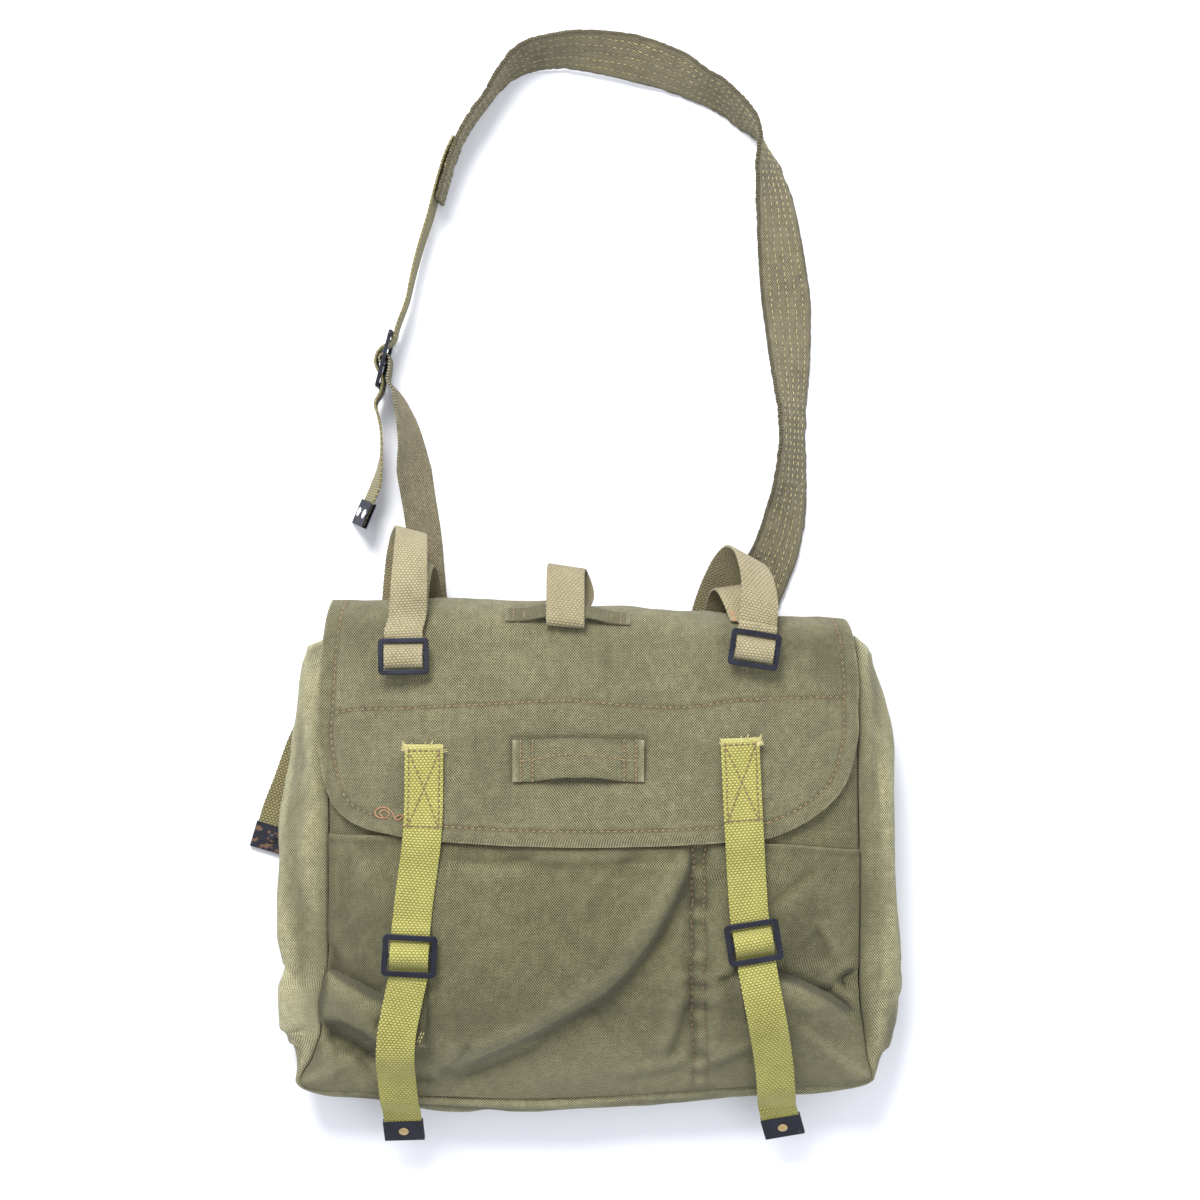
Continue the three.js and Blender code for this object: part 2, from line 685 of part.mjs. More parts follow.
// Slide: a plate with two slots, its length along the webbing
function slideGeometry(size) {
  const halfWidth = size.width / 2;
  const halfLength = size.length / 2;
  const cornerX = halfWidth - size.corner;
  const cornerY = halfLength - size.corner;
  const plate = new THREE.Shape();
  plate.absarc(cornerX, -cornerY, size.corner, -Math.PI / 2, 0);
  plate.absarc(cornerX, cornerY, size.corner, 0, Math.PI / 2);
  plate.absarc(-cornerX, cornerY, size.corner, Math.PI / 2, Math.PI);
  plate.absarc(-cornerX, -cornerY, size.corner, Math.PI, 1.5 * Math.PI);
  const slotX = halfWidth - size.rim;
  for (const side of [-1, 1]) {
    const near = side * size.bar / 2;
    const far = side * (halfLength - size.rim);
    plate.holes.push(new THREE.Path([[-slotX, near], [slotX, near], [slotX, far], [-slotX, far]]
      .map(([x, y]) => new THREE.Vector2(x, y))));
  }
  const geometry = new THREE.ExtrudeGeometry(plate,
    { depth: size.thickness, bevelEnabled: false, curveSegments: 4 });
  geometry.translate(0, 0, -size.thickness / 2);
  return geometry;
}

// Place of a slide: its own x is across the webbing, y along it and z away from the cloth.
const placeAt = (x, y, z, turn, lean) => new THREE.Matrix4().makeTranslation(x, y, z)
  .multiply(new THREE.Matrix4().makeRotationZ(degToRad(turn)))
  .multiply(new THREE.Matrix4().makeRotationX(degToRad(lean)));
const directionIn = (matrix, x, y, z) => vec(x, y, z).transformDirection(matrix);
const threaded = (matrix, rows, width) => rows.map((row) => ({
  at: vec(0, row.along, row.above).applyMatrix4(matrix),
  across: directionIn(matrix, 1, 0, 0),
  width,
}));

// Tip: folded metal over the end of a strap. The strap runs along x in the outline, and into the fold.
function tipGeometry(width, thickness) {
  const half = thickness / 2 + 0.3;
  const outer = half + TIP.wall;
  const profile = new THREE.Shape([[0, outer], [-TIP.length, outer], [-TIP.length, half],
    [-TIP.wall, half], [-TIP.wall, -half], [-TIP.length, -half], [-TIP.length, -outer], [0, -outer]]
    .map(([x, y]) => new THREE.Vector2(x, y)));
  const geometry = new THREE.ExtrudeGeometry(profile, { depth: width + TIP.overlap, bevelEnabled: false });
  geometry.translate(0, 0, -(width + TIP.overlap) / 2);
  return geometry;
}

const rivetGeometry = () => new THREE.LatheGeometry([
  new THREE.Vector2(0, 0),
  new THREE.Vector2(RIVET.radius, 0),
  new THREE.Vector2(RIVET.radius * 0.85, RIVET.height * 0.6),
  new THREE.Vector2(0, RIVET.height),
], 14);

// Put a tip over the last station of a strap, and rivets on the tip's upper face.
function addTip(tipName, rivetNames, stations, thickness, rivetLook) {
  const end = stations[stations.length - 1];
  const along = end.at.clone().sub(stations[stations.length - 2].at).normalize();
  const across = end.across.clone().addScaledVector(along, -end.across.dot(along)).normalize();
  let normal = across.clone().cross(along).normalize();
  if (normal.z < 0) {
    normal = normal.negate();
    across.negate();
  }
  const tip = add(tipName, tipGeometry(end.width, thickness), BLACK_LOOK);
  const place = new THREE.Matrix4().makeBasis(along, normal, across);
  place.setPosition(end.at.clone().addScaledVector(along, TIP.wall + 0.3));
  tip.applyMatrix4(place);
  rivetNames.forEach((name, i) => {
    const rivet = add(name, rivetGeometry(), rivetLook);
    const offset = rivetNames.length > 1 ? (i - 0.5) * end.width * 0.52 : 0;
    const top = thickness / 2 + 0.3 + TIP.wall + 0.1;
    rivet.applyMatrix4(new THREE.Matrix4().makeBasis(along, normal, across)
      .setPosition(vec(-TIP.length / 2, top, offset).applyMatrix4(place)));
  });
}

// Flap straps with their slides, tabs and tips
for (const side of ['left', 'right']) {
  const { slide, turn, tabDrop, tip } = FLAP_STRAPS[side];
  const resting = restingHeight(slide[0], slide[1], 14) + POCKET_LIFT;
  const place = placeAt(slide[0], slide[1], resting + SLIDE_RISE, turn, 0);
  add(`front_buckle_${side}`, slideGeometry(SLIDE), BLACK_LOOK).applyMatrix4(place);

  const lying = ({ x, y }) => ({
    at: vec(x, y, restingHeight(x, y, 12) + layerLift(y) + LAYER_GAP + WEBBING / 2),
    across: vec(1, 0, 0),
    width: WEBBING_WIDTH,
  });
  const run = smoothStations(FLAP_STRAP_RUNS[side].map(lying), 2);
  const tail = FLAP_STRAP_TAILS[side].map(lying);
  tail.forEach((station) => {
    station.at.z += CANVAS + 3.5 * LAYER_GAP;
  });
  tail.push({ at: vec(...tip.start), across: vec(1, 0, 0), width: WEBBING_WIDTH });
  const stations = [...run, ...threaded(place, OVER_BAR, WEBBING_WIDTH), ...smoothStations(tail, 2)];
  straightEnd(stations, vec(...tip.end));
  add(`flap_strap_${side}`, ribbon(stations, WEBBING), GREEN_LOOK);
  addTip(`strap_tip_${side}`, [`tip_rivet_${side}`], stations, WEBBING, BRASS_LOOK);

  // Tab: sewn to the pocket under the tail, and bent round the slide's middle bar
  const tabRows = [];
  for (let along = tabDrop; along >= 14; along -= 8) {
    const at = vec(0, -along, 0).applyMatrix4(place);
    at.z = restingHeight(at.x, at.y, 12) + POCKET_LIFT + LAYER_GAP + CANVAS / 2;
    tabRows.push({ at, across: directionIn(place, 1, 0, 0), width: TAB_WIDTH });
  }
  const ring = TAB_INNER + CANVAS / 2;
  const bent = table(['along', 'above'], [[-7, -4.3], [-2.6, -3.6], [0.4, -ring - 0.2], [2.2, -1.8],
    [ring, 0.4], [1.6, 2.3], [-0.8, ring], [-2.5, 1.2], [-ring, -0.9]]);
  add(`buckle_tab_${side}`, ribbon([...tabRows, ...threaded(place, bent, TAB_WIDTH)], CANVAS), CANVAS_LOOK);
}

// Top straps, their slides and the tabs beside them
const loopStations = (rows) => smoothStations(rows.map((row) => {
  const yaw = degToRad(row.yaw);
  const tip = degToRad(row.tip);
  return {
    at: offFold(row.x, row.fold, row.stand),
    across: vec(Math.cos(yaw) * Math.cos(tip), Math.sin(yaw) * Math.cos(tip), Math.sin(tip)),
    width: WEBBING_WIDTH,
  };
}), 2);
for (const side of ['left', 'right']) {
  const { slide, turn, lean } = TOP_STRAPS[side];
  const resting = restingHeight(slide[0], slide[1], 14) + FLAP_LIFT;
  const place = placeAt(slide[0], slide[1], resting + TOP_SLIDE_RISE, turn, lean);
  add(`top_buckle_${side}`, slideGeometry(TOP_SLIDE), BLACK_LOOK).applyMatrix4(place);
  const loop = loopStations(TOP_LOOPS[side]).reverse();
  const end = threaded(place, ROUND_BAR, WEBBING_WIDTH);
  add(`top_strap_${side}`, ribbon([...loop, ...end], WEBBING), KHAKI_LOOK);
  add(`top_tab_${side}`, ribbon(loopStations(TOP_TABS[side]), WEBBING), KHAKI_LOOK);
}

// Canvas band on the fold with its webbing loop, and the keeper on the flap
const bandStations = spread(12, (t) => {
  const x = lerp(BAND.left, BAND.right, t);
  const arch = BAND.rise * THREE.MathUtils.smoothstep(Math.min(t, 1 - t), 0.1, 0.36);
  return {
    at: offFold(x, BAND.fold, CANVAS / 2 + 0.2 + arch),
    across: foldCurve(x).getTangent(BAND.fold),
    width: BAND.width,
  };
});
add('centre_band', ribbon(bandStations, CANVAS), FLAP_LOOK);
const loopRing = CENTRE_LOOP.map((row) => ({
  at: offFold(CENTRE_LOOP_X, row.fold, row.stand),
  across: vec(1, 0, 0),
  width: WEBBING_WIDTH,
}));
add('centre_loop', ribbon(loopRing, WEBBING, true), KHAKI_LOOK);

const keeperStations = spread(12, (t) => {
  const x = lerp(KEEPER.left, KEEPER.right, t);
  const arch = KEEPER.rise * THREE.MathUtils.smoothstep(Math.min(t, 1 - t), 0.14, 0.34);
  const z = restingHeight(x, KEEPER.y, 12) + FLAP_LIFT + LAYER_GAP + CANVAS / 2 + arch;
  return { at: vec(x, KEEPER.y, z), across: vec(0, 1, 0), width: KEEPER.width };
});
add('flap_keeper', ribbon(keeperStations, CANVAS), FLAP_LOOK);

// Strap lying on the ground: roll turns its width up from the ground about its own run.
function groundStations(rows, thickness, widthOf, steps) {
  const centres = rows.map((row) => vec(row.x, row.y, 0));
  const curve = new THREE.CatmullRomCurve3(centres, false, 'centripetal');
  const last = rows.length - 1;
  return spread(last * steps, (s) => {
    const k = Math.min(Math.floor(s * last), last - 1);
    const t = s * last - k;
    const roll = degToRad(lerp(rows[k].roll, rows[k + 1].roll, t));
    const width = lerp(widthOf(rows[k]), widthOf(rows[k + 1]), t);
    const lift = lerp(rows[k].lift || 0, rows[k + 1].lift || 0, t);
    const tangent = curve.getTangent(s);
    const sideways = vec(-tangent.y, tangent.x, 0);
    const at = curve.getPoint(s);
    const halfHeight = width / 2 * Math.abs(Math.sin(roll)) + thickness / 2 * Math.abs(Math.cos(roll));
    at.z = FLOOR_GAP + lift + halfHeight;
    const across = sideways.multiplyScalar(Math.cos(roll)).addScaledVector(UP, Math.sin(roll));
    return { at, across, width };
  });
}
const shoulderStations = groundStations(SHOULDER, STRAP_THICKNESS, () => STRAP_WIDTH, 2);
add('shoulder_strap', ribbon(shoulderStations, STRAP_THICKNESS), STRAP_LOOK);

// Shoulder slide standing on its edge, and the two straps that meet in it
const slideAlong = vec(SHOULDER_SLIDE_AT.alongX, SHOULDER_SLIDE_AT.alongY, 0).normalize();
const slideOut = UP.clone().cross(slideAlong);
const slidePlace = new THREE.Matrix4().makeBasis(UP, slideAlong, slideOut);
slidePlace.setPosition(SHOULDER_SLIDE_AT.x, SHOULDER_SLIDE_AT.y, SHOULDER_SLIDE.width / 2 + FLOOR_GAP);
add('shoulder_buckle', slideGeometry(SHOULDER_SLIDE), BLACK_LOOK).applyMatrix4(slidePlace);

const inSlide = threaded(slidePlace, THROUGH_SLIDE, WEBBING_WIDTH);
const lead = groundStations(ADJUSTING_LEAD, WEBBING, () => WEBBING_WIDTH, 2);
const trail = groundStations(ADJUSTING_TAIL, WEBBING, () => WEBBING_WIDTH, 2);
lead.forEach((station, i) => {
  station.at.z += (inSlide[0].at.z - station.at.z) * (i / lead.length) ** 2;
});
trail.forEach((station, i) => {
  station.at.z += TIP_CLEARANCE + (inSlide[0].at.z - station.at.z) * (1 - i / trail.length) ** 4;
});
inSlide.forEach((station) => {
  station.across = UP.clone();
});
const adjusting = [...lead, ...inSlide, ...trail];
const trailEnd = trail[trail.length - 1];
straightEnd(adjusting, vec(ADJUSTING_END.x, ADJUSTING_END.y, trailEnd.at.z));
add('adjusting_strap', ribbon(adjusting, WEBBING), STRAP_LOOK);
addTip('adjusting_tip', ['adjusting_rivet_a', 'adjusting_rivet_b'], adjusting, WEBBING, BRASS_LOOK);

const shortRun = groundStations(SHORT_STRAP, CANVAS, (row) => row.width, 2);
const shortEnd = threaded(slidePlace, ROUND_MIDDLE_BAR, TAB_WIDTH);
shortEnd.forEach((station) => {
  station.across = UP.clone();
});
shortRun.forEach((station, i) => {
  station.at.z += (shortEnd[0].at.z - station.at.z) * (i / shortRun.length) ** 6;
});
add('buckle_strap', ribbon([...shortRun, ...shortEnd], CANVAS), STRAP_LOOK);

// Side strap
const sideStations = smoothStations(SIDE_STRAP.map((row, i) => {
  const next = SIDE_STRAP[Math.min(i + 1, SIDE_STRAP.length - 1)];
  const previous = SIDE_STRAP[Math.max(i - 1, 0)];
  return {
    at: vec(row.x, row.y, row.z),
    across: vec(previous.y - next.y, next.x - previous.x, 0).normalize(),
    width: WEBBING_WIDTH,
  };
}), 2);
straightEnd(sideStations, vec(...SIDE_END));
add('side_strap', ribbon(sideStations, WEBBING), KHAKI_LOOK);
addTip('side_tip', ['side_rivet'], sideStations, WEBBING, BLACK_LOOK);

export default bag;
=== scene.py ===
# %% [markdown]
# # A canvas shoulder bag, lying on its back
# The bag is sewn from olive canvas: a back, a gusset round three sides, a front with an outer pocket, and
# a flap that folds over the top. Webbing straps hold the flap, and a long quilted strap is laid out above
# the bag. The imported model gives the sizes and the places. This file remakes each soft piece as fine
# cloth on nearly the same tables of sizes, and then gives every piece its weave, stitches and wear.

# %% Load the frame
import math

import bmesh
import bpy
import numpy as np
from mathutils import Matrix, Vector


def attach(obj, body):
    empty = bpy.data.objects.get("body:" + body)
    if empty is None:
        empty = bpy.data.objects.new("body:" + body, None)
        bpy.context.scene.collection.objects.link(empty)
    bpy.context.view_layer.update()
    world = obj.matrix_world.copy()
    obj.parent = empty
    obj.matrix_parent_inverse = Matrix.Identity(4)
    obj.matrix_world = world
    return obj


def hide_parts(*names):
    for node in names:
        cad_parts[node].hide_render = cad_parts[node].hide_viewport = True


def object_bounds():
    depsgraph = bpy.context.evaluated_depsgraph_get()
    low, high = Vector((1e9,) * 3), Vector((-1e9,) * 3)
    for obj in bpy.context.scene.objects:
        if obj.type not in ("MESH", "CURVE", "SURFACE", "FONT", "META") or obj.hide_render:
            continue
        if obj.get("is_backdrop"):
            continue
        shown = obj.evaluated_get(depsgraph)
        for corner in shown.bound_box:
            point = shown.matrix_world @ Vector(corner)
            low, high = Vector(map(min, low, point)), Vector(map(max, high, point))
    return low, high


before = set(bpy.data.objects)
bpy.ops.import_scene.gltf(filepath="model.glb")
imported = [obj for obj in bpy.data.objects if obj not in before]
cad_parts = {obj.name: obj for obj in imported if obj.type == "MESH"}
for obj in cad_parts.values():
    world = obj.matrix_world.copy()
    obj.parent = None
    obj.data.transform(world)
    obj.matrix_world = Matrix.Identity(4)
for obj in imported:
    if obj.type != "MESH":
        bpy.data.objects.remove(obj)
cad_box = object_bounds()
MM = 0.001
print("frame with", len(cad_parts), "nodes")

# %% [markdown]
# ## Camera, floor and light
# The bag was photographed from straight above on a white surface. The light is soft, comes from beyond
# the bag's top and is so strong that the surface turns white. A wide area light gives the soft shading,
# and a pale world fills the shadows.

# %% Camera
CAMERA_HEIGHT = 1.7
CAMERA_AIM = (0.0052, 0.1697)
FOCAL_PIXELS = 2604.8
IMAGE_PIXELS = 1200
SENSOR = 36.0

camera = bpy.data.objects.new("camera", bpy.data.cameras.new("camera"))
camera.data.sensor_width = SENSOR
camera.data.lens = FOCAL_PIXELS / IMAGE_PIXELS * SENSOR
camera.location = (*CAMERA_AIM, CAMERA_HEIGHT)
bpy.context.scene.collection.objects.link(camera)
bpy.context.scene.camera = camera
print("lens", round(camera.data.lens, 2), "mm")

# %% Light
KEY_WATTS = 50
FILL_WATTS = 7
WORLD_STRENGTH = 0.86


def area_light(name, place, aim, size, watts, tint):
    light = bpy.data.objects.new(name, bpy.data.lights.new(name, "AREA"))
    light.data.shape = "DISK"
    light.data.size = size
    light.data.energy = watts
    light.data.color = tint
    light.location = place
    towards = Vector(aim) - Vector(place)
    light.rotation_euler = towards.to_track_quat("-Z", "Y").to_euler()
    bpy.context.scene.collection.objects.link(light)


area_light("key_light", (-0.4, 1.4, 1.45), (0, 0.1, 0), 0.9, KEY_WATTS, (1.0, 0.985, 0.96))
area_light("fill_light", (0.9, -0.6, 1.6), (0, 0.1, 0), 1.4, FILL_WATTS, (0.94, 0.97, 1.0))
world = bpy.data.worlds.new("studio")
world.use_nodes = True
world.node_tree.nodes["Background"].inputs["Color"].default_value = (0.97, 0.98, 1.0, 1.0)
world.node_tree.nodes["Background"].inputs["Strength"].default_value = WORLD_STRENGTH
bpy.context.scene.world = world
bpy.context.scene.view_settings.view_transform = "Standard"
print("two area lights and a pale world")

# %% [markdown]
# ## Finishes
# Shader sums read best as arithmetic, so a small class wraps a socket and adds a Math node for each sign.
# A second class holds one material: its node method makes any node from its settings and inputs. Patterns
# follow the cloth, so they read the piece's own UV map, which is measured in metres of cloth.


# %% Shader arithmetic
class Wire:
    """One output in a finish, so that sums of sockets read as arithmetic."""

    def __init__(self, finish, socket):
        self.finish = finish
        self.socket = socket

    def math(self, operation, first, second=0.0):
        return self.finish.node("ShaderNodeMath", {"operation": operation}, {0: first, 1: second})

    def __add__(self, other):
        return self.math("ADD", self, other)

    def __sub__(self, other):
        return self.math("SUBTRACT", self, other)

    def __rsub__(self, other):
        return self.math("SUBTRACT", other, self)

    def __mul__(self, other):
        return self.math("MULTIPLY", self, other)

    __radd__ = __add__
    __rmul__ = __mul__

    def sine(self):
        return self.math("SINE", self)

    def clamped(self):
        return self.finish.node("ShaderNodeClamp", {}, {"Value": self})


print("sums of sockets can be written as arithmetic")


# %% One material
class Finish:
    """One material with its shader and the nodes that feed it."""

    def __init__(self, name, roughness, **fixed):
        self.material = bpy.data.materials.new(name)
        self.material.use_nodes = True
        self.tree = self.material.node_tree
        self.shader = self.tree.nodes["Principled BSDF"]
        self.feed("Roughness", roughness)
        for socket, value in fixed.items():
            self.feed(socket.replace("_", " "), value)

    def join(self, socket, value):
        if isinstance(value, Wire):
            self.tree.links.new(value.socket, socket)
        else:
            socket.default_value = value

    def feed(self, socket, value):
        self.join(self.shader.inputs[socket], value)

    def node(self, kind, settings, inputs, output=0):
        made = self.tree.nodes.new(kind)
        for key, value in settings.items():
            setattr(made, key, value)
        for key, value in inputs.items():
            self.join(made.inputs[key], value)
        return Wire(self, made.outputs[output])

    def mix(self, first, second, factor):
        return self.node("ShaderNodeMix", {"data_type": "RGBA"}, {0: factor, 6: first, 7: second}, 2)

    def follow_cloth(self):
        """Reads the cloth's own coordinates: across it and along it, in metres."""
        place = self.node("ShaderNodeUVMap", {"uv_map": "weave"}, {})
        self.across = self.node("ShaderNodeSeparateXYZ", {}, {0: place}, 0)
        self.along = self.node("ShaderNodeSeparateXYZ", {}, {0: place}, 1)

    def object_place(self):
        return self.node("ShaderNodeTexCoord", {}, {}, 3)

    def noise(self, place, scale, detail):
        return self.node("ShaderNodeTexNoise", {}, {"Vector": place, "Scale": scale, "Detail": detail})

    def streaks(self, per_metre_across, per_metre_along):
        """Noise on the cloth, stretched along the threads where the two rates differ."""
        inputs = {0: self.across * per_metre_across, 1: self.along * per_metre_along}
        return self.noise(self.node("ShaderNodeCombineXYZ", {}, inputs), 1.0, 3.0)

    def step(self, value, low, high):
        """Zero below low, one above high, and smooth between."""
        ends = {"Value": value, "From Min": low, "From Max": high}
        return self.node("ShaderNodeMapRange", {"interpolation_type": "SMOOTHSTEP"}, ends)

    def attribute(self, name):
        return self.node("ShaderNodeAttribute", {"attribute_name": name}, {}, 2)

    def bump(self, height, distance, strength):
        inputs = {"Strength": strength, "Distance": distance, "Height": height}
        self.feed("Normal", self.node("ShaderNodeBump", {}, inputs))


def colour(display):
    """A display colour, from 0 to 255, as the linear colour that shaders use."""
    c = np.array(display) / 255
    linear = np.where(c <= 0.04045, c / 12.92, ((c + 0.055) / 1.055) ** 2.4)
    return (*linear.tolist(), 1.0)


print("materials can be made from nodes")

# %% [markdown]
# The canvas is a coarse plain weave with slubby threads, so it is never one colour: single threads are
# lighter or darker, and the dye has faded in soft clouds. Two sine waves make the over and under of the
# weave. Noises that are stretched along one set of threads make the slubs. One attribute is high on hems
# and other rubbed edges, and it also paints light where folds and sides should catch more of it. The other
# attribute is painted shade: in creases, along stitches, under edges and where the cloth faces away. On the
# buckle tabs and the centre band it also gives their own darker tone.

# %% Canvas
WEAVE_ACROSS = 0.0016
WEAVE_ALONG = 0.0019


def canvas(name, dark, light, wear_and_painted_light):
    dark, light, wear_and_painted_light = colour(dark), colour(light), colour(wear_and_painted_light)
    finish = Finish(name, 0.93, Sheen_Weight=0.12, Sheen_Roughness=0.6, Specular_IOR_Level=0.15)
    finish.follow_cloth()
    wobble = finish.streaks(160, 160) * 1.6
    first = (finish.across * (2 * math.pi / WEAVE_ACROSS) + wobble).sine()
    second = (finish.along * (2 * math.pi / WEAVE_ALONG) + wobble).sine()
    knots = finish.step(first * second, -0.5, 0.8)
    slubs_up = finish.streaks(1000, 210)
    slubs_over = finish.streaks(210, 950)
    long_slubs = finish.streaks(640, 16) + finish.streaks(16, 600)
    mottle = finish.streaks(150, 120)
    clouds = finish.streaks(26, 22)
    speck = finish.step(finish.streaks(950, 700), 0.66, 0.8)
    stain = finish.step(finish.streaks(15, 12), 0.48, 0.74)
    thread = knots * 1.2 + (slubs_up + slubs_over) * 0.7 + long_slubs * 0.25 + mottle * 0.6 + clouds * 0.5
    shade = finish.mix(dark, light, (thread - 1.49).clamped())
    shade = finish.mix(shade, dark, stain * 0.38)
    shade = finish.mix(shade, wear_and_painted_light, (speck * 0.35).clamped())
    # Painted shade and darker tone, then pale wear and painted light
    shade = finish.mix(shade, dark, finish.attribute("painted_shade_and_tone"))
    shade = finish.mix(shade, wear_and_painted_light, (finish.attribute("wear_and_painted_light") * (0.35 + slubs_over)).clamped())
    finish.feed("Base Color", shade)
    finish.bump(knots + slubs_up + slubs_over, 0.0006, 0.9)
    return finish.material


# One canvas in four colours: the sides are given a much lighter colour than the front, and the flap a lighter
# one
FLAP_CANVAS = canvas("olive_flap", (64, 61, 43), (157, 153, 119), (184, 179, 150))
FRONT_CANVAS = canvas("olive_front", (57, 55, 35), (141, 137, 102), (174, 170, 138))
SIDE_CANVAS = canvas("olive_sides", (76, 74, 51), (208, 203, 161), (214, 209, 174))
STRAP_CANVAS = canvas("olive_strap", (60, 55, 39), (166, 158, 127), (184, 178, 148))
print("four canvas finishes")

# %% [markdown]
# Webbing is woven much thicker: short floats stand up in staggered rows, with dark gaps between them. The
# product of two sine waves staggers the floats, and the square of one of them sets the rows. The straps
# that hold the flap are a bright yellow green, and those on top have faded to khaki.

# %% Webbing
FLOAT_ACROSS = 0.0024
FLOAT_ALONG = 0.0033


def webbing(name, gap, light, wear_and_painted_light, depth=0.85):
    gap, light, wear_and_painted_light = colour(gap), colour(light), colour(wear_and_painted_light)
    finish = Finish(name, 0.8, Sheen_Weight=0.1, Specular_IOR_Level=0.25)
    finish.follow_cloth()
    tilt = finish.streaks(90, 40) * 1.1
    first = (finish.across * (2 * math.pi / FLOAT_ACROSS) + tilt).sine()
    second = (finish.along * (2 * math.pi / FLOAT_ALONG) + finish.across * 70 + tilt).sine()
    floats = finish.step(first * second * 0.6 + second * second * 0.7, -0.3, 0.8)
    slubs = finish.streaks(900, 260)
    clouds = finish.streaks(55, 30)
    lift = (floats * depth + slubs * 0.55 + clouds * 0.45 + (0.005 - 0.5 * depth)).clamped()
    # Painted shade where a loop faces away, and a darker tone on the centre loop
    shade = finish.mix(finish.mix(gap, light, lift), gap, finish.attribute("painted_shade_and_tone"))
    shade = finish.mix(shade, wear_and_painted_light, (finish.attribute("wear_and_painted_light") * 0.7).clamped())
    finish.feed("Base Color", shade)
    finish.bump(floats + slubs * 0.3, 0.0005, 0.8)
    return finish.material


GREEN_WEBBING = webbing("yellow_green_webbing", (102, 99, 40), (182, 178, 105), (196, 191, 130))
KHAKI_WEBBING = webbing("khaki_webbing", (92, 84, 58), (176, 167, 136), (190, 183, 154), 0.55)
OLIVE_WEBBING = webbing("olive_webbing", (72, 66, 42), (150, 142, 102), (180, 172, 134))
print("three webbing finishes")

# %% [markdown]
# The slides and strap ends are steel with a blue-black paint that has chipped, and a brown primer shows
# in the chips. The rivets are brass or tin, dulled and scratched. These patterns and the twist of the
# thread read Object coordinates, because a hard piece has no cloth to follow.

# %% Metal and thread
PAINT_CHIP = 260
SCRATCH = 900
TWIST = 700


def painted_steel(name, paint, sheen_paint, chip, chipped, gloss=0.26):
    finish = Finish(name, 0.34, Specular_IOR_Level=gloss)
    place = finish.object_place()
    clouds = finish.noise(place, 90, 4.0)
    chips = finish.step(finish.noise(place, PAINT_CHIP, 5.0), 1 - chipped, 1.04 - chipped)
    shade = finish.mix(colour(paint), colour(sheen_paint), clouds)
    finish.feed("Base Color", finish.mix(shade, colour(chip), chips))
    finish.feed("Roughness", clouds * 0.35 + chips * 0.3 + 0.18)
    finish.bump(clouds - chips, 0.00025, 0.6)
    return finish.material


def brass(name, bright, dull):
    finish = Finish(name, 0.4, Metallic=0.85)
    marks = finish.noise(finish.object_place(), SCRATCH, 4.0)
    finish.feed("Base Color", finish.mix(colour(dull), colour(bright), marks))
    finish.feed("Roughness", marks * 0.4 + 0.2)
    finish.bump(marks, 0.0001, 0.6)
    return finish.material


def thread(name, dark, light):
    finish = Finish(name, 0.7, Sheen_Weight=0.2)
    twist = finish.noise(finish.object_place(), TWIST, 2.0)
    finish.feed("Base Color", finish.mix(colour(dark), colour(light), twist))
    finish.bump(twist, 0.0002, 0.6)
    return finish.material


BLACK_STEEL = painted_steel("blue_black_steel", (14, 15, 22), (34, 37, 54), (70, 62, 56), 0.3)
DULL_STEEL = painted_steel("dull_black_steel", (10, 11, 18), (26, 29, 46), (60, 54, 50), 0.28, 0.04)
WORN_STEEL = painted_steel("worn_black_steel", (24, 24, 30), (44, 45, 58), (104, 80, 64), 0.46)
BRASS = brass("dull_brass", (214, 190, 140), (160, 134, 92))
BRIGHT_TIN = brass("bright_tin", (240, 240, 244), (206, 206, 212))
BROWN_THREAD = thread("brown_thread", (84, 69, 44), (160, 137, 97))
TAN_THREAD = thread("tan_thread", (126, 88, 58), (206, 160, 122))
YELLOW_THREAD = thread("yellow_thread", (168, 154, 92), (222, 212, 156))
DARK_THREAD = thread("dark_brown_thread", (76, 60, 38), (138, 114, 80))
print("metal and thread finishes")

# %% [markdown]
# ## The floor
# The floor is a plain pale sheet. It belongs to the stage and not to the bag.

# %% Floor
FLOOR_HALF = 4.0


def mesh_from(shape, name):
    """The mesh of a bmesh, which is freed."""
    mesh = bpy.data.meshes.new(name)
    shape.to_mesh(mesh)
    shape.free()
    return mesh


floor_finish = Finish("pale_floor", 0.6, Specular_IOR_Level=0.2)
floor_finish.feed("Base Color", (0.9, 0.92, 0.985, 1.0))
floor_sheet = bmesh.new()
bmesh.ops.create_grid(floor_sheet, x_segments=1, y_segments=1, size=FLOOR_HALF)
floor = bpy.data.objects.new("floor", mesh_from(floor_sheet, "floor"))
floor.data.materials.append(floor_finish.material)
bpy.context.scene.collection.objects.link(floor)
floor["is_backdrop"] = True
print("floor", 2 * FLOOR_HALF, "m wide")

# %% [markdown]
# ## The bag's sizes
# These tables are in millimetres. They repeat the part's own sizes, apart from the bulges and lower
# corners of the seam, the pocket's inset and some of the folds. Each row is one section, fold or bend,
# and smooth curves run between the rows.

# %% Cloth sizes
CANVAS = 1.4
WEBBING = 1.5
WEBBING_WIDTH = 24
SEAM_GAP = 0.7
LAYER_GAP = 0.6
BACK_SHARE = 0.97
BACK_LIFT = 9
BACK_CURL = 36
CROWN_REACH = 42
POCKET_LIFT = 0.9 + CANVAS
POCKET_INSET = 0.0015
POCKET_BOW = 8
FLAP_LIFT = POCKET_LIFT + LAYER_GAP + CANVAS
print("canvas is", CANVAS, "mm thick and webbing", WEBBING, "mm")


# %% Seam and height of the front
def table(columns, rows):
    return dict(zip(columns.split(), np.array(rows, float).T))


